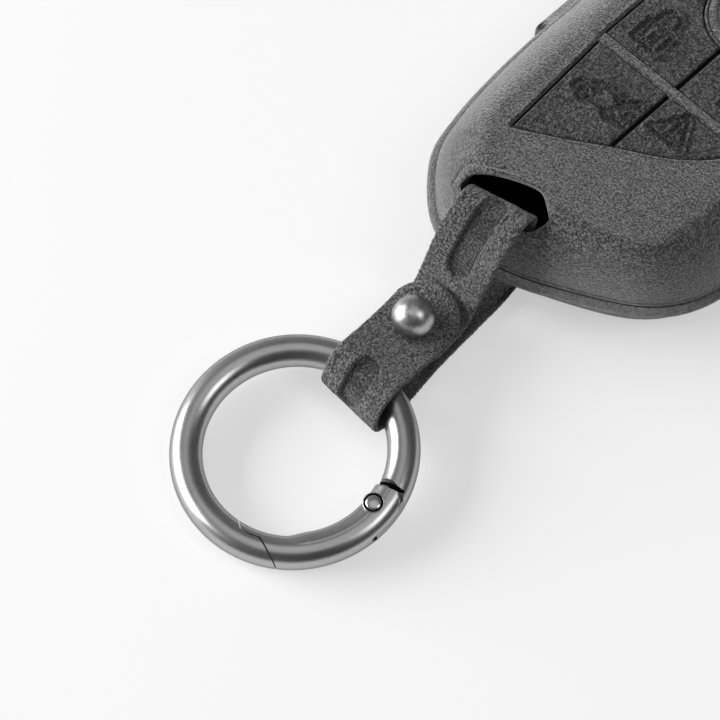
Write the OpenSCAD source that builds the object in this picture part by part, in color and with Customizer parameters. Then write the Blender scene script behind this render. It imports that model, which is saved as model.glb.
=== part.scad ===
// Suede key fob cover with a buttoned strap and a spring gate ring.
// Lengths are in millimetres. X runs across the cover, Y from the ring to the far end, Z up.

/* [Cover] */
// Width of the cover at its widest place
cover_w = 48; // [44:1:56]
// Length of the cover from the strap end to the far end
cover_l = 83; // [76:1:94]
// Height of the cover above the table
cover_h = 18.5; // [16:0.5:22]
// Height of the seam between the two halves
seam_z = 8.5; // [7:0.25:9.5]
// Thickness of the suede skin
skin_t = 0.8; // [0.6:0.1:1]
// Thickness of the moulded shell under the skin
shell_t = 1.2; // [1:0.1:1.5]
// Gap left between the two halves at the seam
seam_gap = 0.12; // [0.08:0.02:0.2]
// Height of the rim that locates the front half
rim_h = 1.3; // [0.8:0.1:1.6]

/* [Buttons] */
// Width of the button panel at its widest place
panel_w = 27.2; // [24:0.4:29]
// Distance from the strap end to the panel's lowest corner
panel_y = 14.4; // [13.8:0.2:16]
// Height of the lower row of buttons
row_low = 19.7; // [18:0.1:21]
// Height of the upper row of buttons
row_high = 15.8; // [14:0.1:17]
// Width of the bar between the two rows
bar_w = 1.6; // [1.2:0.1:2]
// How far a button can be pressed
button_travel = 0.5; // [0.3:0.05:0.6]
// Gap round each button patch
button_gap = 0.3; // [0.2:0.05:0.4]
// Radius of the bare round badge
badge_r = 7; // [5.5:0.25:7.5]

/* [Side pads] */
// Length of a side pad's window along the cover
pad_l = 9; // [7:0.5:12]
// Height of a side pad's window
pad_h = 3.4; // [3:0.1:3.8]
// Distance from the strap end to the middle of a side pad
pad_y = 41; // [38:1:44]
// How far the suede mound round a side pad stands out
pad_out = 1.8; // [1.4:0.1:2.2]
// How far a side pad can be squeezed
pad_travel = 0.8; // [0.5:0.1:1]

/* [Strap] */
// Width of the strap
strap_w = 10.5; // [9:0.5:11.5]
// Thickness of the strap's outer suede layer
face_t = 0.75; // [0.65:0.05:0.85]
// Thickness of the strap's lining
lining_t = 0.55; // [0.45:0.05:0.65]
// Distance from the stud to the run through the slots
slot_u = 17.6; // [17:0.1:18]
// Distance from the stud to the round tip of the strap
tip_u = 6.1; // [5.3:0.1:6.1]
// Distance from the stud to the hidden end of the strap
tail_u = 4.7; // [4:0.1:5.5]
// Free height between the rear strand and the stud's screw
stack_gap = 0.6; // [0.4:0.1:2]
// Width of the pressed grooves in the strap
groove_w = 3.7; // [3:0.1:4.2]
// Depth of the pressed grooves
groove_d = 0.4; // [0.2:0.05:0.5]
// Angle between the strap and the cover's length
strap_lean = 3.3; // [2.5:0.1:4]

/* [Stud] */
// Diameter of the stud's ball
ball_d = 6.1; // [5:0.1:6.5]
// Diameter of the stud's neck
neck_d = 2.4; // [2:0.1:2.8]
// Diameter of the stud's flange and screw head
flange_d = 5; // [4.5:0.25:6]
// Thickness of the stud's flange
flange_t = 0.5; // [0.4:0.05:0.6]
// Thickness of the screw's head
screw_t = 0.7; // [0.5:0.1:0.9]

/* [Ring] */
// Radius of the ring to the middle of its wire
ring_r = 14.75; // [14:0.25:16]
// Diameter of the ring's wire
wire_d = 4.5; // [4.2:0.1:4.6]
// Distance from the stud to the middle of the ring
ring_u = 24; // [23.5:0.25:25]
// Free play of the wire in the strap's fold
fold_play = 0.7; // [0.65:0.05:0.75]
// Diameter of the gate's pin
gate_pin_d = 2.6; // [2.2:0.1:2.7]
// Thickness of the tongue inside the gate
tongue_t = 1.5; // [1.4:0.1:1.6]
// Radius of the gate's round tail about its pin
gate_tail_r = 3.4; // [3.2:0.1:3.5]
// Gap between the gate's tail and the ring's shoulder
shoulder_gap = 0.6; // [0.4:0.1:0.7]

/* [Hidden] */

// One overrun that every cut uses
eps = 0.05;
// Glue line between a skin and its shell, and running gap of sliding faces
glue = 0.05;
run = 0.05;

suede = "dimgray";
suede_dark = [0.3, 0.3, 0.3];
plastic = [0.16, 0.16, 0.17];
metal = "silver";

half_w = cover_w / 2;
wall = skin_t + glue + shell_t;

// Outline of the cover as shares of its half width and its length
outline_shares = [
    [-0.45, 0], [0, 0.015], [0.433, 0.074], [0.763, 0.138], [0.945, 0.221], [0.995, 0.339],
    [1, 0.506], [0.975, 0.675], [0.85, 0.831], [0.52, 0.954], [0, 1], [-0.52, 0.954],
    [-0.85, 0.831], [-0.975, 0.675], [-1, 0.506], [-0.99, 0.338], [-0.929, 0.185], [-0.81, 0.088]
];
outline_steps = 3;
// Size of the flat core that both domes run towards
core_x_share = 0.41;
core_y_shares = [0.193, 0.82];
dome_share = 0.6;
// Stations of the dome between the seam and the flat face
dome_stations_shares = [0, 0.04, 0.12, 0.24, 0.4, 0.6, 0.8, 1];
front_curve_shares = [1.6, 1.5];
rear_curve_shares = [1.6, 1.6];

// A smooth curve through hand chosen points
function cr(a, b, c, d, t) =
    (2 * b + (c - a) * t + (2 * a - 5 * b + 4 * c - d) * t * t
     + (3 * b - a - 3 * c + d) * t * t * t) / 2;
function closed_curve(P, n) = [
    for (i = [0 : len(P) - 1], j = [0 : n - 1])
        let (m = len(P))
        cr(P[(i + m - 1) % m], P[i], P[(i + 1) % m], P[(i + 2) % m], j / n)
];
function open_curve(P, n) = concat([
    for (i = [0 : len(P) - 2], j = [0 : n - 1])
        let (m = len(P) - 1)
        cr(P[max(i - 1, 0)], P[i], P[i + 1], P[min(i + 2, m)], j / n)
], [P[len(P) - 1]]);
function unit(v) = v / norm(v);
function clamp(v, lo, hi) = min(max(v, lo), hi);

outline = closed_curve([for (s = outline_shares) [s[0] * half_w, s[1] * cover_l]], outline_steps);
outline_n = len(outline);
function inward(i) =
    let (d = unit(outline[(i + 1) % outline_n] - outline[(i + outline_n - 1) % outline_n]))
    [-d[1], d[0]];

// One loop of the cover: the outline drawn in by d, then drawn a share s towards the core
function cover_loop(d, s, z) = [
    for (i = [0 : outline_n - 1])
        let (
            p = outline[i] + inward(i) * d,
            cx = half_w * core_x_share,
            c = [clamp(p[0], -cx, cx),
                 clamp(p[1], core_y_shares[0] * cover_l, core_y_shares[1] * cover_l)],
            q = p + (c - p) * s * dome_share
        )
        [q[0], q[1], z]
];
function dome(s, k) = pow(1 - pow(1 - s, k[0]), 1 / k[1]);

// A closed solid through a list of loops, with a flat cap on each end
module loft(loops) {
    m = len(loops[0]);
    k = len(loops);
    polyhedron(
        points = [for (l = loops) for (p = l) p],
        faces = concat(
            [[for (i = [0 : m - 1]) i]],
            [[for (i = [m - 1 : -1 : 0]) (k - 1) * m + i]],
            [for (j = [0 : k - 2], i = [0 : m - 1]) let (n = (i + 1) % m)
                [j * m + i, (j + 1) * m + i, j * m + n]],
            [for (j = [0 : k - 2], i = [0 : m - 1]) let (n = (i + 1) % m)
                [j * m + n, (j + 1) * m + i, (j + 1) * m + n]]
        ),
        convexity = 6
    );
}

front_z = seam_z + seam_gap;
function front_loops(d, up) =
    let (st = dome_stations_shares, k = len(st) - 1)
    [for (j = [0 : k])
        let (s = up ? st[j] : st[k - j])
        cover_loop(d, s, front_z + (cover_h - front_z - d) * dome(s, front_curve_shares))];
function rear_loops(d, up) =
    let (st = dome_stations_shares, k = len(st) - 1)
    [for (j = [0 : k])
        let (s = up ? st[k - j] : st[j])
        cover_loop(d, s, seam_z - (seam_z - d) * dome(s, rear_curve_shares))];
function tail_of(L, first) = [for (j = [first : len(L) - 1]) L[j]];

// Buttons. Fields are convex outlines in the plane of the cover.
panel_x = panel_w / 2;
mid_y = panel_y + row_low;
top_y = mid_y + bar_w;
badge_drop_share = 0.2;
badge_y = top_y + row_high + badge_r * badge_drop_share;
badge_gap = 0.5;
low_left_shares = [[-0.89, 0], [0, 0.39], [0, 1], [-0.985, 1]];
low_right_shares = [[0, 0.39], [0.485, 0.6], [0.73, 0.75], [0.9, 0.9], [0.985, 1], [0, 1]];
high_shares = [[0, 0], [0.995, 0], [1.02, 1], [0, 1]];
function low_field(P) = [for (s = P) [s[0] * panel_x, panel_y + s[1] * row_low]];
function high_field(side) =
    let (P = [for (s = high_shares) [side * s[0] * panel_x, top_y + s[1] * row_high]])
    side > 0 ? P : [for (i = [len(P) - 1 : -1 : 0]) P[i]];
trunk_field = low_field(low_left_shares);
alarm_field = low_field(low_right_shares);
unlock_field = high_field(-1);
lock_field = high_field(1);
// One window in the skin for each row of buttons
low_row_shares = [[-0.89, 0], [0.485, 0.6], [0.73, 0.75], [0.9, 0.9], [0.985, 1], [-0.985, 1]];
high_row_shares = [[-0.995, 0], [0.995, 0], [1.02, 1], [-1.02, 1]];
low_row = low_field(low_row_shares);
high_row = [for (s = high_row_shares) [s[0] * panel_x, top_y + s[1] * row_high]];
rows = [low_row, high_row];
fields = [trunk_field, alarm_field, unlock_field, lock_field];

// An outline, listed anticlockwise, with every side moved in by d
function inset(P, d) = [
    for (i = [0 : len(P) - 1])
        let (
            n = len(P),
            a = unit(P[i] - P[(i + n - 1) % n]),
            b = unit(P[(i + 1) % n] - P[i]),
            na = [-a[1], a[0]],
            nb = [-b[1], b[0]],
            h = unit(na + nb)
        )
        P[i] + h * d / (h * na)
];

patch_z = cover_h - skin_t;
// Depth of the pocket that a patch sinks into when it is pressed
pocket_t = button_travel + run * 2;
web_in = button_gap * 2;
plug_gap = 0.2;
plug_flange_t = 0.6;
shell_under = cover_h - wall;
nub_d = 3;
nub_h = 1;

module badge_cut(grow) {
    translate([0, badge_y, -eps])
        cylinder(r = badge_r + grow, h = cover_h * 2, $fn = 96);
}

module field_prism(field, d, z0, z1) {
    difference() {
        translate([0, 0, z0])
            linear_extrude(z1 - z0)
                polygon(inset(field, d));
        badge_cut(badge_gap + d);
    }
}
// The same outline with round corners, as a cutter for the thin walls
corner_r = 0.25;
module field_window(field, d, z0, z1) {
    difference() {
        hull()
            for (p = inset(field, d + corner_r))
                translate([p[0], p[1], z0])
                    cylinder(r = corner_r, h = z1 - z0, $fn = 8);
        badge_cut(badge_gap + d);
    }
}
// Groove that closes the panel round the badge, in the panel's half width and the row's height
panel_groove_shares = [[-0.99, 0.97], [-1.01, 1.35], [-0.97, 1.65], [-0.82, 1.95], [-0.5, 2.18],
                       [0, 2.25], [0.5, 2.18], [0.82, 1.95], [0.97, 1.65], [1.01, 1.35], [0.99, 0.97]];
groove_line_w = 0.5;
groove_line_d = 0.35;
module panel_groove() {
    P = [for (s = panel_groove_shares) [s[0] * panel_x, top_y + s[1] * row_high]];
    for (i = [0 : len(P) - 2])
        hull()
            for (p = [P[i], P[i + 1]])
                translate([p[0], p[1], cover_h - groove_line_d])
                    cylinder(d = groove_line_w, h = skin_t, $fn = 8);
}

// A groove stroke between two points, sunk from the top of a patch
stroke_w = 0.7;
stroke_d = 0.3;
module stroke(a, b) {
    len_ab = norm(b - a);
    translate([a[0], a[1], cover_h - stroke_d])
        rotate([0, 0, atan2(b[1] - a[1], b[0] - a[0])])
            translate([0, -stroke_w / 2, 0])
                cube([len_ab, stroke_w, stroke_d + eps]);
}
module pictogram(c, size, P, links) {
    for (k = links)
        stroke(c + P[k[0]] * size, c + P[k[1]] * size);
}
icon_size = 5.4;
padlock_shares = [[-0.4, -0.5], [0.4, -0.5], [0.4, 0.1], [-0.4, 0.1],
                  [-0.25, 0.1], [-0.25, 0.5], [0.25, 0.5], [0.25, 0.1], [0.25, 0.32]];
lock_links = [[0, 1], [1, 2], [2, 3], [3, 0], [4, 5], [5, 6], [6, 7]];
unlock_links = [[0, 1], [1, 2], [2, 3], [3, 0], [4, 5], [5, 6], [6, 8]];
boot_shares = [[-0.6, -0.4], [0.6, -0.4], [0.6, 0], [-0.6, 0], [-0.1, 0.6]];
boot_links = [[0, 1], [1, 2], [2, 3], [3, 0], [3, 4]];
alarm_shares = [[-0.5, -0.45], [0.5, -0.45], [0, 0.5], [0, -0.2], [0, 0.15]];
alarm_links = [[0, 1], [1, 2], [2, 0], [3, 4]];
trunk_icon = [-panel_x * 0.44, panel_y + row_low * 0.66];
alarm_icon = [panel_x * 0.4, panel_y + row_low * 0.78];
unlock_icon = [-panel_x * 0.58, top_y + row_high * 0.42];
lock_icon = [panel_x * 0.58, top_y + row_high * 0.42];

// Strap route in its own upright plane: u along the strap, z up
strap_t = face_t + lining_t;
half_t = strap_t / 2;
fold_r = wire_d / 2 + fold_play;
fold_sag = ring_r - sqrt(ring_r * ring_r - strap_w * strap_w / 4);
wire_mean_r = ring_r - fold_sag / 2;
fold_u = wire_mean_r - ring_u;
fold_z = strap_t + fold_r;
front_strand_z = strap_t + stack_gap + screw_t + half_t;
tip_strand_z = front_strand_z + strap_t + flange_t + run;
crest_drop_share = 0.46;
crest_z = cover_h - half_t * crest_drop_share;
// How far the tip stands up, as shares of the strap's thickness
tip_lift_shares = [0, 0.3, 0.85, 1.9];
tip_at_shares = [0, 0.42, 0.74, 1];
// Rear strand into the rear slot, as shares of the slot's distance and the seam's height
rear_route_shares = [[0.3, 0], [0.64, 0], [0.8, 0.02], [0.93, 0.12], [0.99, 0.325], [1, 0.745]];
// Front slot down to the stud, as shares of the slot's distance and the crest's height
front_route_shares = [[1, 0.766], [0.99, 0.92], [0.93, 0.995], [0.83, 0.965], [0.72, 0.855],
                      [0.61, 0.68], [0.51, 0.47], [0.42, 0.265], [0.33, 0.085], [0.22, 0.012],
                      [0.05, 0]];
fold_steps = 6;
// Height of the tip strand halfway to the fold, as a share of its rise
halfway_share = 0.42;
route = concat(
    [for (i = [3 : -1 : 0])
        [tip_u * tip_at_shares[i], tip_strand_z + strap_t * tip_lift_shares[i]]],
    [[fold_u * 0.5, tip_strand_z + (fold_z + fold_r + half_t - tip_strand_z) * halfway_share]],
    [for (i = [0 : fold_steps])
        let (a = 90 + 180 * i / fold_steps)
        [fold_u + (fold_r + half_t) * cos(a), fold_z + (fold_r + half_t) * sin(a)]],
    [[fold_u * 0.5, half_t]],
    [for (s = rear_route_shares) [slot_u * s[0], half_t + (seam_z - half_t) * s[1]]],
    [for (s = front_route_shares)
        [slot_u * s[0], front_strand_z + (crest_z - front_strand_z) * s[1]]],
    [[-tail_u, front_strand_z]]
);
strap_curve = open_curve(route, 3);
// Stations where the tip, the grooves and the hidden end lie along the curve
tip_last = 12;
short_groove_first = 14;
short_groove_last = 26;
long_groove_first = 61;
long_groove_last = 76;

function side_normal(P, i) =
    let (d = unit(P[min(i + 1, len(P) - 1)] - P[max(i - 1, 0)])) [d[1], -d[0]];
function band(P, a, b, first, last) = concat(
    [for (i = [first : last]) P[i] + side_normal(P, i) * a],
    [for (i = [last : -1 : first]) P[i] + side_normal(P, i) * b]
);
module upright(w) {
    rotate([90, 0, 90])
        linear_extrude(w, center = true)
            children();
}
stud_x = -3.9;
stud_y = -12;
module on_strap() {
    translate([stud_x, stud_y, 0])
        rotate([0, 0, strap_lean])
            children();
}
curve_last = len(strap_curve) - 1;
// The same curve carried on past both ends, for the cuts that round them
cut_curve = concat(
    [strap_curve[0] + unit(strap_curve[0] - strap_curve[1]) * strap_t],
    strap_curve,
    [strap_curve[curve_last] + unit(strap_curve[curve_last] - strap_curve[curve_last - 1]) * strap_t]
);
tip_round_u = tip_u - strap_w / 2;
end_slack = 0.1;

// Everything outside a half round end, for cutting one end of the strap
module end_corners(centre_u, dir) {
    reach = strap_w * 2;
    translate([0, centre_u, -reach])
        linear_extrude(reach * 3)
            difference() {
                translate([-strap_w, dir > 0 ? 0 : -strap_w])
                    square([strap_w * 2, strap_w]);
                circle(d = strap_w, $fn = 64);
            }
}

module strap_layer(a, b) {
    difference() {
        upright(strap_w)
            polygon(band(strap_curve, a, b, 0, curve_last));
        intersection() {
            upright(strap_w + eps * 2)
                polygon(band(cut_curve, half_t + end_slack, -half_t - end_slack, 0, tip_last));
            end_corners(tip_round_u, 1);
        }
        intersection() {
            upright(strap_w + eps * 2)
                polygon(band(cut_curve, half_t + end_slack, -half_t - end_slack,
                             curve_last - 2, curve_last + 2));
            end_corners(strap_w / 2 - tail_u, -1);
        }
        translate([0, 0, front_strand_z - half_t - eps])
            cylinder(d = neck_d + run * 2, h = tip_strand_z - front_strand_z + strap_t * 2, $fn = 48);
    }
}

module groove_cut(first, last) {
    upright(groove_w)
        polygon(band(strap_curve, half_t + eps, half_t - groove_d, first, last));
}

// Ring, in a frame whose origin is the ring's middle, +Y towards the strap
wire_r = wire_d / 2;
ring_tilt = asin((fold_z - wire_r) / (wire_mean_r + ring_r));
module on_ring() {
    on_strap()
        translate([0, fold_u, fold_z])
            rotate([ring_tilt, 0, 0])
                translate([0, -wire_mean_r, 0])
                    children();
}
function polar(r, a) = [r * cos(a), r * sin(a)];
pin_angle = 3.1;
pin_in = 1.05;
pin_at = polar(ring_r - pin_in, pin_angle);
nose_gap = 0.16;
lap_in = 0.9;
// Angle that an arc of a given length takes on the ring
function arc_angle(l) = l / ring_r * 180 / PI;
// Reach of the tongue's lap and of the notch below the pin, and of the slot above it
tongue_lap = 2.65;
notch_lap = 3.32;
slot_top = 0.8;
tongue_end_angle = pin_angle - arc_angle(tongue_lap);
tongue_top_angle = pin_angle + arc_angle(gate_tail_r + shoulder_gap) * 1.27;
notch_end_angle = pin_angle - arc_angle(notch_lap);
slot_top_angle = pin_angle + arc_angle(slot_top);
arc_steps = 5;
function arc_points(r, a, b) = [for (i = [0 : arc_steps]) polar(r, a + (b - a) * i / arc_steps)];
slab_gap = 0.1;
reach_r = wire_r * 1.2;

// Plan of the gate; g widens it, for the space that the body leaves free
function gate_plan(g) =
    let (da = g / ring_r * 180 / PI)
    concat(
        [polar(ring_r - reach_r, -86.5 - da), polar(ring_r - lap_in - run, -78 - da),
         polar(ring_r - lap_in + g, -72), polar(ring_r - lap_in + g, -66 - da),
         polar(ring_r + reach_r, -54.5 - da)],
        [for (a = [-40 : 10 : 0]) polar((ring_r + reach_r) * 1.03, a)],
        [polar(ring_r + reach_r, pin_angle), polar(ring_r - reach_r, pin_angle)],
        [for (a = [0 : -10 : -80]) polar(ring_r - reach_r, a)]
    );
module torus() {
    rotate_extrude($fn = 96)
        translate([ring_r, 0])
            circle(d = wire_d, $fn = 48);
}
module gate_space(g, r) {
    linear_extrude(wire_d * 1.5, center = true)
        polygon(gate_plan(g));
    translate([pin_at[0], pin_at[1], 0])
        cylinder(r = r, h = wire_d * 1.5, center = true, $fn = 72);
}
module at_pin() {
    translate([pin_at[0], pin_at[1], 0])
        rotate([0, 0, pin_angle])
            children();
}
// Corner of the tongue that works the plunger, from the pin's axis
cam_x = -1.15;
cam_y = 2.2;
bore_x = -0.5;
bore_d = 1.4;
plunger_d = 1.3;
plunger_l = 2.4;
bore_l = 6.2;
spring_gap = 0.45;
spring_wire = 0.22;
spring_turns = 4;

// Relief of the tongue's lap beside the plunger
plunger_relief = 0.3;
cam_angle = pin_angle - arc_angle(cam_y - run * 2);

module tongue_plan() {
    at_pin()
        translate([cam_x - wire_r, -cam_y, -tongue_t / 2])
            cube([wire_r - cam_x + pin_in + wire_r, cam_y * 2, tongue_t]);
    linear_extrude(tongue_t, center = true)
        polygon(concat(
            arc_points(ring_r + reach_r, tongue_end_angle, tongue_top_angle),
            arc_points(ring_r - lap_in, tongue_top_angle, cam_angle),
            arc_points(ring_r - lap_in + plunger_relief, cam_angle, tongue_end_angle)
        ));
}
module slot_plan(t) {
    translate([pin_at[0], pin_at[1], 0])
        cylinder(r = gate_tail_r + run, h = t, center = true, $fn = 72);
    linear_extrude(t, center = true)
        polygon(concat(
            arc_points((ring_r + reach_r) * 1.02, notch_end_angle, slot_top_angle),
            arc_points(ring_r - lap_in, slot_top_angle, notch_end_angle)
        ));
}

// The whole part is moved so that its box stands on the origin
ring_shift = wire_mean_r * cos(ring_tilt) - fold_u;
ring_mid = [stud_x + ring_shift * sin(strap_lean), stud_y - ring_shift * cos(strap_lean)];
ring_end_y = ring_mid[1] - wire_r
    - ring_r * sqrt(1 - pow(sin(ring_tilt) * cos(strap_lean), 2));
origin_y = (cover_l + ring_end_y) / 2;
module placed() {
    translate([0, -origin_y, 0])
        children();
}

// Slots for the strap, cut straight down through each half
slot_corner_r = 0.9;
module slot_edge(P, z0, z1) {
    hull()
        for (p = P)
            translate([p[0], p[1], z0])
                cylinder(r = slot_corner_r, h = z1 - z0, $fn = 16);
}
module slot_cut(near, far, z0, z1) {
    hull() {
        slot_edge(near, z0, z1);
        slot_edge(far, z0, z1);
    }
}
slot_mid = [stud_x - slot_u * sin(strap_lean), stud_y + slot_u * cos(strap_lean)];
// Corners of the front slot, as shares of the strap's width from its run
front_near_shares = [[-0.54, -0.05], [0.56, 0.01]];
front_far_shares = [[-0.53, 0.2], [0.22, 0.5], [0.62, 0.25]];
rear_near_shares = [[-0.52, -0.13], [0.52, -0.13]];
rear_far_shares = [[-0.52, 0.24], [0.52, 0.24]];
function slot_points(P) = [for (s = P) slot_mid + s * strap_w];
module front_slot() {
    slot_cut(slot_points(front_near_shares), slot_points(front_far_shares), seam_z + rim_h * 2,
             cover_h + eps);
}
module rear_slot() {
    slot_cut(slot_points(rear_near_shares), slot_points(rear_far_shares), -eps, seam_z - rim_h);
}

// Side pads
pad_z = seam_z * 0.56;
pad_gap = 0.2;
mound_wall = 1.6;
mound_root_x = half_w - wall * 2.6;
rib_w = 0.8;
rib_n = 5;
pad_flange_t = 0.6;
pad_flange_out = 1;
// A pad sits back in its mound by a quarter of its travel
pad_face_x = half_w + pad_out - pad_travel / 4;
// Half width inside the rear shell at height z, where the cover is widest
function rear_inside_x(z) =
    let (
        drop = (seam_z - z) / (seam_z - wall),
        s = 1 - pow(1 - pow(drop, rear_curve_shares[1]), 1 / rear_curve_shares[0]),
        edge = half_w - wall
    )
    edge + (half_w * core_x_share - edge) * s * dome_share;
pad_root_x = rear_inside_x(pad_z - pad_h / 2) - pad_gap;

module mound(side) {
    mirror([side < 0 ? 1 : 0, 0, 0])
        hull()
            for (dy = [-1, 1], dz = [-1, 1])
                translate([mound_root_x, pad_y + dy * (pad_l / 2), pad_z + dz * (pad_h / 2)])
                    rotate([0, 90, 0])
                        cylinder(r1 = mound_wall, r2 = mound_wall * 0.5,
                                 h = half_w + pad_out - mound_root_x, $fn = 24);
}
module pad_window(side, grow) {
    mirror([side < 0 ? 1 : 0, 0, 0])
        translate([half_w - wall * 4, pad_y - pad_l / 2 - grow, pad_z - pad_h / 2 - grow])
            cube([wall * 6, pad_l + grow * 2, pad_h + grow * 2]);
}
module side_pad(side) {
    mirror([side < 0 ? 1 : 0, 0, 0]) {
        pitch = pad_l / rib_n;
        translate([pad_root_x, pad_y - pad_l / 2, pad_z - pad_h / 2])
            cube([pad_face_x - rib_w - pad_root_x, pad_l, pad_h]);
        for (i = [0 : rib_n - 1])
            translate([pad_face_x - rib_w, pad_y - pad_l / 2 + pitch * (i + 0.5), pad_z])
                cylinder(d = rib_w * 1.6, h = pad_h, center = true, $fn = 24);
        translate([pad_root_x - pad_flange_t, pad_y - pad_l / 2 - pad_flange_out,
                   pad_z - pad_h / 2])
            cube([pad_flange_t, pad_l + pad_flange_out * 2, pad_h]);
    }
}

module rear_skin() {
    color(suede)
        placed()
            difference() {
                union() {
                    loft(concat(rear_loops(0, true), rear_loops(skin_t, false)));
                    difference() {
                        union() {
                            mound(-1);
                            mound(1);
                        }
                        loft(concat(rear_loops(skin_t / 2, true),
                                    [cover_loop(skin_t / 2, 0, seam_z + eps)]));
                    }
                }
                rear_slot();
                pad_window(-1, pad_gap);
                pad_window(1, pad_gap);
            }
}

module rear_shell() {
    d0 = skin_t + glue;
    rim_d = wall - shell_t * 0.45;
    color(plastic)
        placed()
            difference() {
                loft(concat(
                    rear_loops(d0, true),
                    [cover_loop(rim_d, 0, seam_z), cover_loop(rim_d, 0, seam_z + rim_h),
                     cover_loop(wall, 0, seam_z + rim_h)],
                    rear_loops(wall, false)
                ));
                rear_slot();
                pad_window(-1, pad_gap);
                pad_window(1, pad_gap);
            }
}

module front_skin() {
    color(suede)
        placed()
            difference() {
                loft(concat(front_loops(0, false), front_loops(skin_t, true)));
                front_slot();
                for (r = rows)
                    field_window(r, 0, patch_z - wall, cover_h + eps);
                panel_groove();
                translate([0, badge_y, cover_h - skin_t * 2])
                    cylinder(r = badge_r + run, h = skin_t * 3, $fn = 96);
            }
}

module front_shell() {
    d0 = skin_t + glue;
    step_d = wall - shell_t * 0.45 - run * 3;
    step_z = front_z + rim_h + run * 4;
    color(plastic)
        placed()
            difference() {
                loft(concat(
                    front_loops(d0, false),
                    [cover_loop(step_d, 0, front_z), cover_loop(step_d, 0, step_z),
                     cover_loop(wall, 0, step_z)],
                    tail_of(front_loops(wall, true), 2)
                ));
                front_slot();
                for (r = rows)
                    field_window(r, 0, patch_z - glue - pocket_t, cover_h);
                for (f = fields)
                    field_window(f, web_in, shell_under - eps * 2, cover_h);
            }
}

module badge_disc() {
    ring_line_r = badge_r * 0.78;
    color(suede)
        placed()
            translate([0, badge_y, cover_h - skin_t])
                difference() {
                    cylinder(r = badge_r - run, h = skin_t * 1.4, $fn = 96);
                    translate([0, 0, skin_t * 1.1])
                        difference() {
                            cylinder(r = ring_line_r + stroke_w / 2, h = skin_t, $fn = 96);
                            translate([0, 0, -eps])
                                cylinder(r = ring_line_r - stroke_w / 2, h = skin_t * 2, $fn = 96);
                        }
                }
}

module button_patch(field, icon, P, links) {
    color(suede_dark)
        placed()
            difference() {
                field_prism(field, button_gap, patch_z, cover_h);
                pictogram(icon, icon_size, P, links);
            }
}

module press_pad(field, icon) {
    color(plastic)
        placed() {
            field_prism(field, web_in + plug_gap, shell_under - run - eps, patch_z - glue);
            field_prism(field, button_gap / 2, shell_under - run - plug_flange_t, shell_under - run);
            translate([icon[0], icon[1], shell_under - run - plug_flange_t - nub_h])
                cylinder(d = nub_d, h = nub_h + eps, $fn = 32);
        }
}

module trunk_button() { button_patch(trunk_field, trunk_icon, boot_shares, boot_links); }
module alarm_button() { button_patch(alarm_field, alarm_icon, alarm_shares, alarm_links); }
module unlock_button() { button_patch(unlock_field, unlock_icon, padlock_shares, unlock_links); }
module lock_button() { button_patch(lock_field, lock_icon, padlock_shares, lock_links); }
module trunk_press_pad() { press_pad(trunk_field, trunk_icon); }
module alarm_press_pad() { press_pad(alarm_field, alarm_icon); }
module unlock_press_pad() { press_pad(unlock_field, unlock_icon); }
module lock_press_pad() { press_pad(lock_field, lock_icon); }

module left_side_pad() { color(plastic) placed() side_pad(-1); }
module right_side_pad() { color(plastic) placed() side_pad(1); }

module strap_face() {
    color(suede)
        placed()
            on_strap()
                difference() {
                    strap_layer(half_t, half_t - face_t);
                    groove_cut(short_groove_first, short_groove_last);
                    groove_cut(long_groove_first, long_groove_last);
                }
}
module strap_lining() {
    color(suede_dark)
        placed()
            on_strap()
                strap_layer(half_t - face_t, -half_t);
}

ball_z = tip_strand_z + half_t + ball_d * 0.42;
// The ball is cut flat just clear of the tip, which rises a little under it
ball_seat = run * 10;
thread_d = 1.4;
module stud_head() {
    flange_z = front_strand_z + half_t + run / 2;
    shank_z = front_strand_z - half_t;
    color(metal)
        placed()
            on_strap()
                difference() {
                    union() {
                        intersection() {
                            translate([0, 0, ball_z])
                                sphere(d = ball_d, $fn = 64);
                            translate([0, 0, tip_strand_z + half_t + ball_seat])
                                cylinder(d = ball_d * 2, h = ball_d * 2, $fn = 48);
                        }
                        translate([0, 0, flange_z])
                            cylinder(d = flange_d, h = flange_t, $fn = 64);
                        translate([0, 0, shank_z])
                            cylinder(d = neck_d, h = ball_z - shank_z, $fn = 48);
                    }
                    translate([0, 0, shank_z - eps])
                        cylinder(d = thread_d, h = strap_t + flange_t + eps, $fn = 32);
                }
}
module stud_screw() {
    head_z = front_strand_z - half_t - screw_t - run;
    slot_w = 0.8;
    color(metal)
        placed()
            on_strap()
                difference() {
                    union() {
                        translate([0, 0, head_z])
                            cylinder(d = flange_d, h = screw_t, $fn = 64);
                        translate([0, 0, head_z])
                            cylinder(d = thread_d - run, h = screw_t + strap_t, $fn = 32);
                    }
                    translate([-flange_d, -slot_w / 2, head_z - eps])
                        cube([flange_d * 2, slot_w, screw_t * 0.4]);
                }
}

module ring_body() {
    color(metal)
        placed()
            on_ring() {
                difference() {
                    torus();
                    gate_space(nose_gap, gate_tail_r + shoulder_gap);
                }
                difference() {
                    intersection() {
                        torus();
                        tongue_plan();
                    }
                    at_pin()
                        cylinder(d = gate_pin_d, h = wire_d, center = true, $fn = 48);
                }
            }
}
module ring_gate() {
    color(metal)
        placed()
            on_ring()
                difference() {
                    intersection() {
                        torus();
                        gate_space(0, gate_tail_r);
                    }
                    slot_plan(tongue_t + slab_gap * 2);
                    at_pin() {
                        cylinder(d = gate_pin_d + run * 2, h = wire_d * 1.2, center = true, $fn = 48);
                        translate([bore_x, 0, 0])
                            rotate([90, 0, 0])
                                cylinder(d = bore_d, h = bore_l + cam_y, $fn = 32);
                    }
                }
}
module gate_pin() {
    pin_l = 2 * sqrt(wire_r * wire_r - pin_in * pin_in) - run * 2;
    color(metal)
        placed()
            on_ring()
                at_pin()
                    cylinder(d = gate_pin_d, h = pin_l, center = true, $fn = 48);
}
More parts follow.
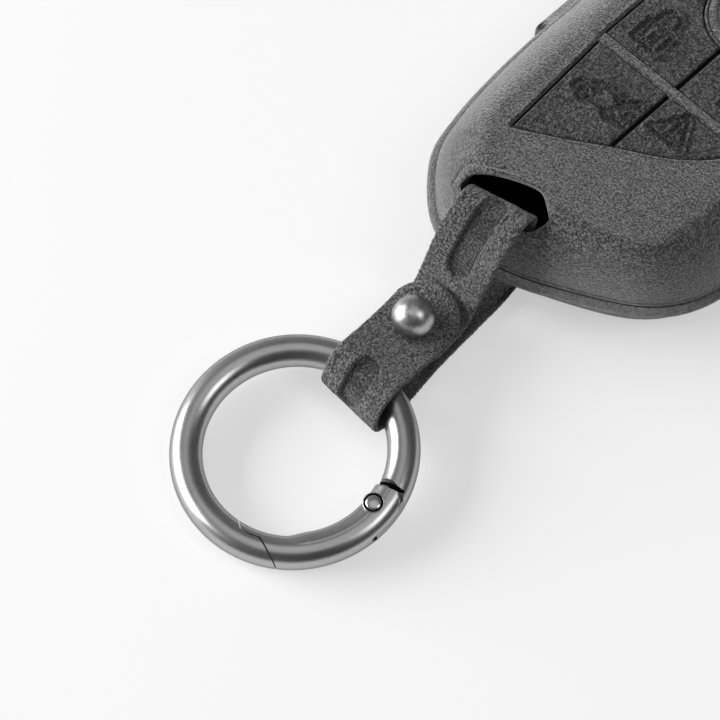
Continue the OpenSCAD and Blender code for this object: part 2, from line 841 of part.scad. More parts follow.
module gate_plunger() {
    color(metal)
        placed()
            on_ring()
                at_pin()
                    translate([bore_x, -cam_y - run, 0])
                        rotate([90, 0, 0])
                            cylinder(d = plunger_d, h = plunger_l, $fn = 32);
}

// A coil of round wire along -Y, one unbroken tube with flat ends
coil_r = (plunger_d - spring_wire) / 2;
coil_start = cam_y + run + plunger_l + spring_gap;
coil_end = cam_y + bore_l - run - spring_wire;
coil_pitch = (coil_end - coil_start - spring_wire) / spring_turns;
coil_rings = 8;
coil_sides = 6;
function coil_point(t) =
    [coil_r * cos(360 * t), -coil_start - spring_wire / 2 - coil_pitch * t, coil_r * sin(360 * t)];
function coil_ring(t) =
    let (
        out = [cos(360 * t), 0, sin(360 * t)],
        d = unit(coil_point(t + 0.01) - coil_point(t - 0.01)),
        up = cross(d, out)
    )
    [for (k = [0 : coil_sides - 1])
        coil_point(t) + spring_wire / 2 * (out * cos(360 * k / coil_sides)
                                           + up * sin(360 * k / coil_sides))];
module gate_spring() {
    echo(coil_gap = coil_pitch - spring_wire);
    color(metal)
        placed()
            on_ring()
                at_pin()
                    translate([bore_x, 0, 0])
                        loft([for (i = [0 : spring_turns * coil_rings]) coil_ring(i / coil_rings)]);
}

rear_shell();
rear_skin();
front_shell();
front_skin();
badge_disc();
trunk_button();
alarm_button();
unlock_button();
lock_button();
trunk_press_pad();
alarm_press_pad();
unlock_press_pad();
lock_press_pad();
left_side_pad();
right_side_pad();
strap_face();
strap_lining();
stud_head();
stud_screw();
ring_body();
ring_gate();
gate_pin();
gate_plunger();
gate_spring();
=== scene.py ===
import math

import bpy
import numpy as np
from mathutils import Matrix, Vector
from mathutils.bvhtree import BVHTree
from mathutils.geometry import delaunay_2d_cdt


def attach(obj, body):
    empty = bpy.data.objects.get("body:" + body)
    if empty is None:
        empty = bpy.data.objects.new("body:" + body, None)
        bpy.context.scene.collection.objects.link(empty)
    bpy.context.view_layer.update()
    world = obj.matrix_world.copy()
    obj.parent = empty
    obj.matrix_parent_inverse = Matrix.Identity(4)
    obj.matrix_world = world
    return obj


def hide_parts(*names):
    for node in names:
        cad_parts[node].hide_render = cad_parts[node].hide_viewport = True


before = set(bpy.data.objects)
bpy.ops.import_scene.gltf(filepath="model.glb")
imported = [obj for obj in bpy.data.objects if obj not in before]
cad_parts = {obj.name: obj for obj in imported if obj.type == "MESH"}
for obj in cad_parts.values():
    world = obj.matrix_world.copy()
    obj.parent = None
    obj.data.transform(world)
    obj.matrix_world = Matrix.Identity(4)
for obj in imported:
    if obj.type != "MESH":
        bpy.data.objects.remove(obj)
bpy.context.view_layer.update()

# Lengths are in millimetres in the cover's own frame, from the middle of its near end. mesh_piece
# turns them into metres in the part's frame, whose origin lies ORIGIN_Y further up the cover.
MM = 0.001
ORIGIN_Y = 15.0543154
HALF_W, COVER_L, COVER_H = 24.0, 83.0, 18.5
SEAM_Z, FRONT_Z = 8.5, 8.62  # top of the lower half, foot of the upper one
SKIN_T = 0.8
# All unevenness comes from this one generator, so the order of the draws belongs to the result
rng = np.random.default_rng(7)


# ---- small helpers
def smooth01(t):
    t = np.clip(t, 0.0, 1.0)
    return t * t * (3 - 2 * t)


def catmull(P, n, closed):
    """A smooth curve through the points P, in n steps from each to the next."""
    P = np.asarray(P, float)
    m = len(P)
    out = []
    for i in range(m if closed else m - 1):
        if closed:
            a, b, c, d = P[(i - 1) % m], P[i], P[(i + 1) % m], P[(i + 2) % m]
        else:
            a, b, c, d = P[max(i - 1, 0)], P[i], P[i + 1], P[min(i + 2, m - 1)]
        for j in range(n):
            t = j / n
            out.append((2 * b + (c - a) * t + (2 * a - 5 * b + 4 * c - d) * t * t
                        + (3 * b - a - 3 * c + d) * t ** 3) / 2)
    if not closed:
        out.append(P[-1])
    return np.array(out)


def resample(P, step, closed=True):
    """The line through P in even steps."""
    Q = np.vstack([P, P[:1]]) if closed else np.asarray(P)
    s = np.concatenate([[0], np.cumsum(np.linalg.norm(np.diff(Q, axis=0), axis=1))])
    n = max(int(round(s[-1] / step)), 4)
    t = np.linspace(0, s[-1], n + 1)
    R = np.stack([np.interp(t, s, Q[:, k]) for k in range(Q.shape[1])], 1)
    return R[:-1] if closed else R


def soft_loop(P, step=0.22, rounds=3):
    """A closed outline, evenly spaced, with its corners eased."""
    R = resample(np.asarray(P, float), step)
    for _ in range(rounds):
        R = (np.roll(R, 1, 0) + 2 * R + np.roll(R, -1, 0)) / 4
    return R


def inside(P, loop):
    """Which of the points P lie inside the closed loop."""
    x, y = P[:, 0][:, None], P[:, 1][:, None]
    a, b = loop, np.roll(loop, -1, 0)
    cross = (a[:, 1] > y) != (b[:, 1] > y)
    with np.errstate(divide="ignore", invalid="ignore"):
        at = (b[:, 0] - a[:, 0]) * (y - a[:, 1]) / (b[:, 1] - a[:, 1]) + a[:, 0]
    return (np.sum(cross & (x < at), 1) % 2).astype(bool)


def distance(P, line, closed=True):
    """Distance from the points P to a line of straight pieces."""
    a = line if closed else line[:-1]
    b = np.roll(line, -1, 0) if closed else line[1:]
    d = b - a
    best = np.full(len(P), 1e9)
    for k in range(0, len(P), 2000):
        p = P[k:k + 2000, None, :] - a[None]
        t = np.clip((p * d).sum(2) / np.maximum((d * d).sum(1), 1e-12), 0, 1)
        best[k:k + 2000] = np.linalg.norm(p - t[..., None] * d[None], axis=2).min(1)
    return best


def push(loop, d):
    """The loop moved out by d (in by a negative d), for a loop that runs anticlockwise."""
    t = np.roll(loop, -1, 0) - np.roll(loop, 1, 0)
    t /= np.linalg.norm(t, axis=1)[:, None]
    return loop + np.stack([t[:, 1], -t[:, 0]], 1) * d


def grid_points(loop, step):
    """A triangular grid inside the loop, a little uneven, so that no rows of facets show."""
    lo, hi = loop.min(0), loop.max(0)
    rows = int((hi[1] - lo[1]) / (step * 0.866)) + 1
    cols = int((hi[0] - lo[0]) / step) + 1
    P = np.array([(lo[0] + step * (i + 0.5 * (j % 2)), lo[1] + step * 0.866 * j)
                  for j in range(rows) for i in range(cols)])
    P += rng.uniform(-0.12, 0.12, P.shape) * step
    return P[inside(P, loop)]


def triangulate(points, loops, keep):
    """Triangles through all points, with the loops as fixed edges; keep(centres) says which stay."""
    P = [np.asarray(points)]
    edges, base = [], len(points)
    for L in loops:
        n = len(L)
        P.append(L)
        edges += [(base + i, base + (i + 1) % n) for i in range(n)]
        base += n
    P = np.vstack(P)
    v, _, f, *_ = delaunay_2d_cdt([Vector(p) for p in P], edges, [], 0, 1e-6)
    v = np.array([(p[0], p[1]) for p in v])
    f = np.array([t for t in f if len(t) == 3])
    c = v[f].mean(1)
    return v, f[keep(c)]


def weld(parts, dist=0.002):
    """One vertex list and one face list out of several, with shared points joined."""
    V, F, base = [], [], 0
    for v, f in parts:
        V.append(np.asarray(v, float))
        F += [[int(i) + base for i in face] for face in f]
        base += len(v)
    V = np.vstack(V)
    key = np.round(V / dist).astype(np.int64)
    _, first, back = np.unique(key, axis=0, return_index=True, return_inverse=True)
    back = back.reshape(-1)
    F2 = []
    for face in F:
        g = []
        for i in face:
            j = int(back[i])
            if j not in g:
                g.append(j)
        if len(g) > 2:
            F2.append(g)
    return V[first], F2


def new_object(name, data):
    ob = bpy.data.objects.new(name, data)
    bpy.context.scene.collection.objects.link(ob)
    return ob


def mesh_piece(name, V, F, body, material, stands_for=(), attrs=None):
    """A visible piece from points in mm, with its body and the nodes that it stands for."""
    V = np.array(V, float)
    V[:, 1] -= ORIGIN_Y
    me = bpy.data.meshes.new(name)
    me.from_pydata((V * MM).tolist(), [], [list(map(int, f)) for f in F])
    for key, values in (attrs or {}).items():
        a = me.attributes.new(key, "FLOAT", "POINT")
        a.data.foreach_set("value", np.asarray(values, np.float32))
    me.validate()
    me.shade_smooth()
    me.materials.append(material)
    ob = new_object(name, me)
    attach(ob, body)
    if stands_for:
        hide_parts(*stands_for)


def strip(n, k, flip=False):
    """Quads of a tube of k rings with n points each."""
    F = []
    for j in range(k - 1):
        for i in range(n):
            a, b = j * n + i, j * n + (i + 1) % n
            q = [a, b, b + n, a + n]
            F.append(q[::-1] if flip else q)
    return F


def caps(n, k, flip=False):
    """The two end faces of such a tube."""
    ends = [list(range(n))[::-1], list(range((k - 1) * n, k * n))]
    return [face[::-1] for face in ends] if flip else ends


# ---- materials
def put(nt, kind, **values):
    """A new node with its named sockets or settings filled in."""
    n = nt.nodes.new(kind)
    for k, v in values.items():
        if k in n.inputs:
            n.inputs[k].default_value = v
        else:
            setattr(n, k, v)
    return n


def node_material(name):
    """A new material, its node tree, its shader and the object coordinates."""
    m = bpy.data.materials.new(name)
    m.use_nodes = True
    nt = m.node_tree
    return m, nt, nt.nodes["Principled BSDF"], put(nt, "ShaderNodeTexCoord").outputs["Object"]


def fill(shader, values):
    for key, v in values.items():
        shader.inputs[key].default_value = v


def feed(nt, node, values):
    """Fills a node's sockets in turn by links or plain values; None leaves one as it is."""
    for socket, v in zip(node.inputs, values):
        if isinstance(v, bpy.types.NodeSocket):
            nt.links.new(v, socket)
        elif v is not None:
            socket.default_value = v


def math_node(nt, op, a, b=None, c=None):
    n = put(nt, "ShaderNodeMath", operation=op)
    feed(nt, n, (a, b, c))
    return n.outputs[0]


def vector_math(nt, op, a, b=None, c=None):
    n = put(nt, "ShaderNodeVectorMath", operation=op)
    feed(nt, n, (a, b, c))
    return n.outputs["Value"] if op in ("DOT_PRODUCT", "LENGTH") else n.outputs["Vector"]


def vary(nt, base, value, amount):
    """The base, moved up and down by the amount as the value swings about 0.5."""
    return math_node(nt, "MULTIPLY_ADD", math_node(nt, "SUBTRACT", value, 0.5), amount, base)


def noise(nt, vec, scale, detail=2.0, rough=0.5, distortion=0.0):
    n = put(nt, "ShaderNodeTexNoise", Scale=scale, Detail=detail, Roughness=rough,
            Distortion=distortion)
    nt.links.new(vec, n.inputs["Vector"])
    return n.outputs["Fac"]


def ramp(nt, fac, stops):
    """A colour ramp with stops of a place and a grey or a colour."""
    n = put(nt, "ShaderNodeValToRGB")
    e = n.color_ramp.elements
    while len(e) < len(stops):
        e.new(0.5)
    for el, (pos, g) in zip(e, stops):
        el.position = pos
        el.color = (*(g if isinstance(g, tuple) else (g, g, g)), 1)
    nt.links.new(fac, n.inputs[0])
    return n.outputs[0]


def mix_colour(nt, share, a, b):
    """The linked colour a, turned into the plain colour b by that share."""
    n = put(nt, "ShaderNodeMix", data_type="RGBA")
    nt.links.new(share, n.inputs[0])
    nt.links.new(a, n.inputs[6])
    n.inputs[7].default_value = b
    return n.outputs[2]


def attribute(nt, name):
    return put(nt, "ShaderNodeAttribute", attribute_name=name).outputs["Fac"]


def add_bump(nt, p, height, strength, depth):
    """Relief in the shading, for what is finer than the mesh; the depth is in mm."""
    b = put(nt, "ShaderNodeBump", Strength=strength, Distance=depth * MM)
    nt.links.new(height, b.inputs["Height"])
    nt.links.new(b.outputs[0], p.inputs["Normal"])


def suede(name, dark, light, grain, bump, sheen, contrast, painted_edge_highlight=False, fine=None, painted_relief_shading=0.0,
          pebble=0.0):
    """Suede: a short nap seen as light and dark grain, blotches where it was stroked, and a soft sheen.
    grain, bump and pebble are in mm. The mesh's attributes paint light and shade into the colour: a
    painted highlight where rims and cut edges catch the light (edge), painted highlights on the grain's
    high spots and painted shade in its pits, and painted shade on the floors of pressed grooves, which
    are also smoother (groove)."""
    m, nt, p, co = node_material(name)
    fib = noise(nt, co, 1000 / grain, 3.0, 0.62, 0.35)
    fib2 = noise(nt, co, 1000 / (grain * 0.5), 2.0, 0.6)
    mid = noise(nt, co, 1000 / (grain * 5.5), 2.0, 0.55)
    blotch = noise(nt, co, 110.0, 3.0, 0.55, 0.4)
    g = math_node(nt, "MULTIPLY_ADD", fib, 0.68, math_node(nt, "MULTIPLY", fib2, 0.32))
    grain_v = vary(nt, 0.5, g, contrast)
    if pebble:
        vor = put(nt, "ShaderNodeTexVoronoi", Scale=1000 / pebble)
        nt.links.new(co, vor.inputs["Vector"])
        stones = math_node(nt, "MULTIPLY_ADD", vor.outputs["Distance"], -1.1, 0.84)
        grain_v = math_node(nt, "ADD", math_node(nt, "MULTIPLY", grain_v, 0.6), stones)
    if fine is not None:
        groove = attribute(nt, "groove")
        grain_v = vary(nt, 0.5, grain_v, math_node(nt, "MULTIPLY_ADD", groove, -(1 - fine), 1.0))
        # Painted shade: the floors of the grooves are darkened.
        grain_v = math_node(nt, "MULTIPLY_ADD", groove, -0.17, grain_v)
    tone = vary(nt, vary(nt, grain_v, mid, 0.4), blotch, 0.4)
    # Painted light and shade: the grain's high spots are lightened and its pits darkened.
    if painted_relief_shading:
        tone = math_node(nt, "MULTIPLY_ADD", attribute(nt, "painted_relief_shading"), painted_relief_shading, tone)
    col = ramp(nt, tone, [(0.1, tuple(c * 0.35 for c in dark)), (0.4, dark), (0.66, light),
                          (1.0, tuple(min(c * 2.0, 1) for c in light))])
    # Painted highlight: a pale colour is mixed in where rims and cut edges catch the light.
    if painted_edge_highlight:
        highlight_share = math_node(nt, "MULTIPLY", attribute(nt, "edge"),
                         math_node(nt, "MULTIPLY_ADD", fib, 0.9, 0.25))
        col = mix_colour(nt, highlight_share, col, (0.3, 0.3, 0.303, 1))
    nt.links.new(col, p.inputs["Base Color"])
    nt.links.new(math_node(nt, "MULTIPLY_ADD", fib2, 0.18, 0.8), p.inputs["Roughness"])
    fill(p, {"Specular IOR Level": 0.18, "Sheen Weight": sheen, "Sheen Roughness": 0.35,
             "Sheen Tint": (0.95, 0.95, 0.95, 1)})
    add_bump(nt, p, math_node(nt, "MULTIPLY_ADD", mid, 0.5, grain_v), 1.0, bump)
    return m


def moulded(name, tone, rough, grain=0.25, bump=0.02, shine=0.3):
    """Fine-eroded moulded plastic or rubber; grain and bump are in mm."""
    m, nt, p, co = node_material(name)
    fine = noise(nt, co, 1000 / grain, 3.0, 0.6)
    wide = noise(nt, co, 160.0, 2.0, 0.5)
    t = math_node(nt, "MULTIPLY_ADD", wide, 0.6, math_node(nt, "MULTIPLY", fine, 0.4))
    nt.links.new(ramp(nt, t, [(0.3, tone * 0.75), (0.7, tone * 1.3)]), p.inputs["Base Color"])
    nt.links.new(math_node(nt, "MULTIPLY_ADD", fine, 0.2, rough - 0.1), p.inputs["Roughness"])
    fill(p, {"Specular IOR Level": shine})
    add_bump(nt, p, fine, 0.6, bump)
    return m


def turned_grain(nt, co, centre, axis):
    """Coordinates in which a pattern runs round an axis: the distance from it and the height."""
    rel = vector_math(nt, "SUBTRACT", co, centre)
    h = vector_math(nt, "DOT_PRODUCT", rel, axis)
    h_h_h = put(nt, "ShaderNodeCombineXYZ")
    feed(nt, h_h_h, (h, h, h))
    flat = vector_math(nt, "MULTIPLY_ADD", tuple(-a for a in axis), h_h_h.outputs[0], rel)
    r_h = put(nt, "ShaderNodeCombineXYZ")
    feed(nt, r_h, (vector_math(nt, "LENGTH", flat), h))
    slow = vector_math(nt, "MULTIPLY", co, (0.012, 0.012, 0.012))
    return vector_math(nt, "ADD", r_h.outputs[0], slow)


def satin(name, tone, rough, centre=None, axis=None, fleck=0.0, lines=0.35):
    """Satin plated metal. With a centre and an axis the brushing runs round that axis."""
    m, nt, p, co = node_material(name)
    vec = co if axis is None else turned_grain(nt, co, centre, axis)
    brush = noise(nt, vec, 7000.0, 3.0, 0.65)
    wide = noise(nt, vec, 1500.0, 2.0, 0.5)
    spot = noise(nt, co, 1400.0, 3.0, 0.6)
    cloud = noise(nt, co, 220.0, 2.0, 0.5)
    t = vary(nt, vary(nt, 0.5, wide, lines * 0.7), brush, lines)
    t = vary(nt, vary(nt, t, spot, 0.15 + fleck), cloud, 0.2)
    col = ramp(nt, t, [(0.2, tone * 0.7), (0.5, tone), (0.8, min(tone * 1.22, 1))])
    nt.links.new(col, p.inputs["Base Color"])
    fill(p, {"Metallic": 1.0, "Specular Tint": (0.4, 0.4, 0.4, 1)})
    nt.links.new(vary(nt, rough, t, 0.25), p.inputs["Roughness"])
    add_bump(nt, p, math_node(nt, "ADD", brush, spot), 0.25, 0.012)
    return m


# Where the ring and its gate's pin lie in the part's frame, in metres, and the axis of both
RING_C = (-0.00252042, -0.05098065, 0.00326664)
PIN_AT = Vector((0.01109431, -0.04945528, 0.00331771))
RING_AXIS = (0.0039676, -0.06881076, 0.99762184)

cover_mat = suede("cover_suede", (0.054, 0.054, 0.055), (0.132, 0.132, 0.134),
                  grain=0.33, bump=0.12, sheen=1.0, contrast=5.0, painted_edge_highlight=True)
patch_mat = suede("patch_suede", (0.045, 0.045, 0.046), (0.104, 0.104, 0.106),
                  grain=0.34, bump=0.13, sheen=0.2, contrast=4.0)
strap_mat = suede("strap_suede", (0.045, 0.045, 0.046), (0.185, 0.185, 0.187),
                  grain=0.3, bump=0.55, sheen=0.5, contrast=5.6, painted_edge_highlight=True, fine=0.6,
                  painted_relief_shading=0.06, pebble=0.36)
lining_mat = suede("strap_lining", (0.05, 0.05, 0.051), (0.1, 0.1, 0.102),
                   grain=0.3, bump=0.1, sheen=0.15, contrast=3.0, painted_edge_highlight=True)
plastic_mat = moulded("shell_plastic", 0.012, 0.6)
rubber_mat = moulded("pad_rubber", 0.03, 0.75, grain=0.4, bump=0.04)
ring_mat = satin("ring_metal", 0.47, 0.29, RING_C, RING_AXIS)
stud_mat = satin("stud_metal", 0.5, 0.36, fleck=0.8, lines=0.1)
pin_mat = satin("pin_metal", 0.55, 0.24, fleck=0.25, lines=0.1)
# Near-black matte: painted shade for the gaps round the pin and at the hinge.
gap_shade_mat = moulded("gap_shade", 0.002, 0.9, shine=0.02)
steel_mat = satin("spring_metal", 0.55, 0.3, fleck=0.1, lines=0.2)

for mat, nodes in (
        (plastic_mat, "rear_shell front_shell"), (ring_mat, "ring_body ring_gate"),
        (rubber_mat, "trunk_press_pad alarm_press_pad unlock_press_pad lock_press_pad"),
        (rubber_mat, "left_side_pad right_side_pad"), (stud_mat, "stud_head stud_screw"),
        (steel_mat, "gate_plunger gate_spring"), (cover_mat, "rear_skin front_skin badge_disc"),
        (patch_mat, "trunk_button alarm_button unlock_button lock_button"),
        (pin_mat, "gate_pin"), (strap_mat, "strap_face"), (lining_mat, "strap_lining")):
    for node in nodes.split():
        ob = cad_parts[node]
        ob.data.materials.clear()
        ob.data.materials.append(mat)

# ---- cover surface
OUTLINE_SHARES = [
    [-0.45, 0], [0, 0.015], [0.433, 0.074], [0.763, 0.138], [0.945, 0.221], [0.995, 0.339],
    [1, 0.506], [0.975, 0.675], [0.85, 0.831], [0.52, 0.954], [0, 1], [-0.52, 0.954],
    [-0.85, 0.831], [-0.975, 0.675], [-1, 0.506], [-0.99, 0.338], [-0.929, 0.185], [-0.81, 0.088],
]
outline = catmull(np.array(OUTLINE_SHARES) * [HALF_W, COVER_L], 30, True)
for _ in range(12):
    outline = (np.roll(outline, 1, 0) + 2 * outline + np.roll(outline, -1, 0)) / 4


def soft_clamp(v, lo, hi, k=4.0):
    def smin(a, b):
        h = np.maximum(k - np.abs(a - b), 0) / k
        return np.minimum(a, b) - h * h * k / 4
    return -smin(-smin(v, hi), -lo)


# The domes rise from the outline (s = 0) to a flat field (s = 1) that lies 0.6 of the way to the core
CORE = np.stack([soft_clamp(outline[:, 0], -HALF_W * 0.41, HALF_W * 0.41),
                 soft_clamp(outline[:, 1], 0.193 * COVER_L, 0.82 * COVER_L)], 1)


def loop_at(s, d=0.0):
    """The plan of a dome at s, with the outline first moved in by d."""
    p = push(outline, -d)
    return p + (CORE - p) * s * 0.6


def dome(s, a, b):
    return (1 - (1 - s) ** a) ** (1 / b)


def front_z(s):
    return FRONT_Z + (COVER_H - FRONT_Z) * dome(s, 1.75, 1.38)


def rear_z(s):
    return SEAM_Z * (1 - dome(s, 1.6, 1.6))


def ring3(s, d, z):
    """That plan as a ring of points at the height z."""
    q = loop_at(s, d)
    return np.column_stack([q, np.full(len(q), z)])


def front_in(s):
    """How far the upper half stands back from the lower half's lip."""
    return 0.75 * (1 - smooth01(s))


def rear_in(s):
    """The lower half keeps the outline."""
    return 0.0


def dome_tree(z_of, inset, rings):
    """A domed half's plain surface, to cast rays on."""
    st = np.linspace(0, 1, rings) ** 1.6
    V = np.vstack([ring3(s, inset(s), z_of(s)) for s in st])
    return BVHTree.FromPolygons([Vector(v) for v in V], strip(len(outline), rings))


def height_finder(z_of, inset, flat_z):
    """Height of a domed half above any point of the plan."""
    tree = dome_tree(z_of, inset, 90)

    def find(P):
        out = np.full(len(P), flat_z)
        for i, (x, y) in enumerate(P):
            hit = tree.ray_cast(Vector((x, y, 60)), Vector((0, 0, -1)))
            if hit[0] is not None:
                out[i] = hit[0].z
        return out
    return find


front_height = height_finder(front_z, front_in, COVER_H)
rear_height = height_finder(rear_z, rear_in, 0.0)

# ---- panel plan
PANEL_X, PANEL_Y = 13.6, 14.4  # half the width, and where the panel starts
ROW_LOW, ROW_HIGH = 19.7, 15.8
MID_Y = PANEL_Y + ROW_LOW
TOP_Y = MID_Y + 1.6
BADGE_R = 7.0
BADGE = np.array([0.0, TOP_Y + ROW_HIGH + BADGE_R * 0.2])
# Gaps along the patches: at the crossbar, at the lower edge, between two patches, at the sides
BAR_LINE, FINE_LINE, MID_LINE, SIDE_LINE = 0.1, 0.13, 0.3, 0.48


def low(P):
    """Points of the lower row, given as shares of its half width and of its height."""
    return np.array([[s * PANEL_X, PANEL_Y + t * ROW_LOW] for s, t in P])


# The lower edge of the panel, as one smooth curve from the left corner to the right one
low_edge = catmull(low([[-0.89, 0], [-0.4, 0.205], [0, 0.39], [0.485, 0.6], [0.73, 0.75],
                        [0.9, 0.9], [0.985, 1]]), 14, False)


def arc(c, r, a0, a1, n=60):
    """Points on a circle, from one angle to another in degrees."""
    a = np.radians(np.linspace(a0, a1, n))
    return np.column_stack([c[0] + r * np.cos(a), c[1] + r * np.sin(a)])


def bitten(x0, x1, y0, y1, r):
    """A field under the badge: straight sides, with the badge's circle bitten out of its top edge."""
    dy = y1 - BADGE[1]
    reach = math.sqrt(r * r - dy * dy)
    a = math.degrees(math.asin(-dy / r))
    left = max(x0, -reach)
    right = min(x1, reach)
    pts = [[x0, y0], [x1, y0]]
    if right < reach - 1e-6:
        start = -math.degrees(math.acos(right / r))
    else:
        pts.append([x1, y1])
        start = -a
    end = -math.degrees(math.acos(left / r)) if left > -reach + 1e-6 else -180 + a
    pts += arc(BADGE, r, start, end).tolist()
    if left <= -reach + 1e-6:
        pts.append([x0, y1])
    return np.array(pts)


low_window = np.vstack([low_edge, low([[-0.985, 1]])])
HIGH_X = 13.7
high_window = bitten(-HIGH_X, HIGH_X, TOP_Y, TOP_Y + ROW_HIGH, BADGE_R + 0.5)
# The strap runs from the stud to the slot, SLOT_U away, at a lean to the cover's length
stud_at = np.array([-3.9, -12.0])
LEAN = math.radians(3.3)
SLOT_U = 17.6
SLOT_MID = stud_at + SLOT_U * np.array([-math.sin(LEAN), math.cos(LEAN)])
STRAP_W = 10.5


def around(points, r):
    """The outline of round discs of radius r drawn tight round the points."""
    P = np.vstack([arc(p, r, 0, 360, 49)[:-1] for p in points])
    P = P[np.lexsort((P[:, 1], P[:, 0]))]

    def half(Q):
        out = []
        for q in Q:
            while len(out) > 1 and np.cross(out[-1] - out[-2], q - out[-2]) <= 0:
                out.pop()
            out.append(q)
        return out[:-1]
    return np.array(half(P) + half(P[::-1]))


def slot_points(shares):
    """Points round the slot's middle, given as shares of the strap's width."""
    return SLOT_MID + np.array(shares) * STRAP_W


front_slot = catmull(slot_points([
    [-0.63, -0.08], [-0.55, -0.14], [-0.3, -0.13], [0, -0.1], [0.3, -0.07], [0.5, -0.01], [0.58, 0.08],
    [0.62, 0.165], [0.635, 0.22], [0.6, 0.27], [0.5, 0.335], [0.4, 0.4], [0.3, 0.44], [0.19, 0.425],
    [0.02, 0.365], [-0.13, 0.3], [-0.29, 0.225], [-0.44, 0.145], [-0.58, 0.05]]), 6, True)
slot_crease = catmull(slot_points([
    [-0.74, -0.12], [-0.745, 0.03], [-0.69, 0.13], [-0.58, 0.18], [-0.43, 0.25], [-0.28, 0.32],
    [-0.12, 0.385]]), 8, False)
rear_slot = around(slot_points([[-0.52, -0.13], [0.52, -0.13], [-0.52, 0.24], [0.52, 0.24]]), 0.9)
half_groove = [[0.99, 0.97], [1.01, 1.35], [0.97, 1.65], [0.82, 1.95], [0.5, 2.18]]
panel_groove = catmull([[x * PANEL_X, TOP_Y + t * ROW_HIGH] for x, t in
                        [[-x, t] for x, t in half_groove] + [[0, 2.25]] + half_groove[::-1]], 12, False)


# ---- a skin with holes
def rolled(d, r):
    """Drop of a rounded edge of radius r at a distance d from it."""
    e = np.clip(r - d, 0, r)
    return r - np.sqrt(np.maximum(r * r - e * e, 0))


def painted_rim_highlight(V):
    """Painted highlight: the rim is made paler, for the light that catches the nap where the skin turns
    over.
    """
    d = distance(V[:, :2], outline)
    return 0.6 * np.exp(-(d / 1.4) ** 2) + 0.2 * np.exp(-(d / 4.5) ** 2)


def skin(join, z_of, inset, find, holes, grooves, flip, step=0.45):
    """The inner part of a half's suede: a sheet over the dome with rolled holes and pressed lines.
    holes are (loop, roll radius, lip height); grooves are (line, width, depth)."""
    outer = loop_at(join, inset(join))
    sign = -1 if flip else 1
    P = grid_points(outer, step)
    P = P[distance(P, outer) > step * 0.5]
    loops = [soft_loop(h[0]) for h in holes]
    extra = []
    for L, h in zip(loops, holes):
        P = P[~inside(P, L)]
        P = P[distance(P, L) > 0.75]
        for d in (0.07, 0.16, 0.28, 0.42, 0.6):
            extra.append(resample(push(L, d), 0.24))
    for line, w, _ in grooves:
        P = P[distance(P, line, False) > w * 0.9]
        for d in (-0.8, -0.5, -0.25, 0, 0.25, 0.5, 0.8):
            t = np.gradient(line, axis=0)
            t /= np.linalg.norm(t, axis=1)[:, None]
            extra.append(resample(line + np.stack([t[:, 1], -t[:, 0]], 1) * d * w, 0.24, False))
    E = np.vstack(extra)
    ok = inside(E, outer) & (distance(E, outer) > 0.2)
    for L in loops:
        ok &= ~inside(E, L) & (distance(E, L) > 0.05)
    P = np.vstack([P, E[ok]])

    def keep(c):
        k = inside(c, outer)
        for L in loops:
            k &= ~inside(c, L)
        return k
    v, f = triangulate(P, [outer] + loops, keep)
    z = find(v)
    on_rim = distance(v, outer) < 1e-4
    z[on_rim] = z_of(join)
    for L, (_, r, lip) in zip(loops, holes):
        d = distance(v, L)
        z -= sign * rolled(d, r)
        z += sign * lip * np.exp(-((d - r * 1.15) / 0.13) ** 2)
    for line, w, dep in grooves:
        d = distance(v, line, False)
        z -= sign * dep * (1 - smooth01(d / w))
    V = np.column_stack([v, z])
    parts = [(V, f[:, ::-1] if flip else f)]
    for L, (_, r, _) in zip(loops, holes):
        zl = find(L)
        wall = [np.column_stack([loop, zl - sign * drop]) for loop, drop in
                ((L, r), (L, max(SKIN_T * 0.6, r + 0.05)), (L, SKIN_T), (push(L, 0.5), SKIN_T))]
        parts.append((np.vstack(wall), strip(len(L), len(wall), flip=not flip)))
    return parts


def bar_end(side):
    """The panel's side line runs on past the end of the crossbar."""
    ends = [[side * 0.985 * PANEL_X, MID_Y - 0.3], [side * 0.998 * PANEL_X, TOP_Y + 0.3]]
    return resample(np.array(ends), 0.3, False)


# Front half: rings from the seam up to the join, then the sheet with its holes.
JOIN = 0.16


def front_ring(s, d, z=None):
    return ring3(s, d + front_in(s), front_z(s) if z is None else z)


front_rings = [front_ring(0, d, FRONT_Z + up)
               for d, up in ((SKIN_T + 0.3, 0), (0.3, 0), (0.1, 0.06), (0, 0.26))]
# A fine pressed line runs round just over the seam
LINE_IN = {0.0135: 0.04, 0.016: 0.16, 0.0185: 0.16, 0.021: 0.04}
front_rings += [front_ring(s, LINE_IN.get(s, 0)) for s in
                (0.0025, 0.006, 0.0105, 0.0135, 0.016, 0.0185, 0.021, 0.025, 0.034, 0.046, 0.06,
                 0.078, 0.098, 0.118, 0.14, JOIN)]
front_parts = [(np.vstack(front_rings), strip(len(outline), len(front_rings)))]
badge_hole = arc(BADGE, BADGE_R + 0.05, 0, 360, 181)[:-1]
front_parts += skin(JOIN, front_z, front_in, front_height,
                    [(front_slot, 0.3, 0.06), (low_window, 0.26, 0.07), (high_window, 0.26, 0.07),
                     (badge_hole, 0.2, 0.0)],
                    [(panel_groove, 0.3, 0.32), (slot_crease, 0.34, 0.3)]
                    + [(bar_end(side), 0.34, 0.5) for side in (-1, 1)], False)
V, F = weld(front_parts)
# The rim's edge values are a painted highlight.
mesh_piece("cover_front_suede", V, F, "front_half", cover_mat, ["front_skin"],
           {"edge": painted_rim_highlight(V)})

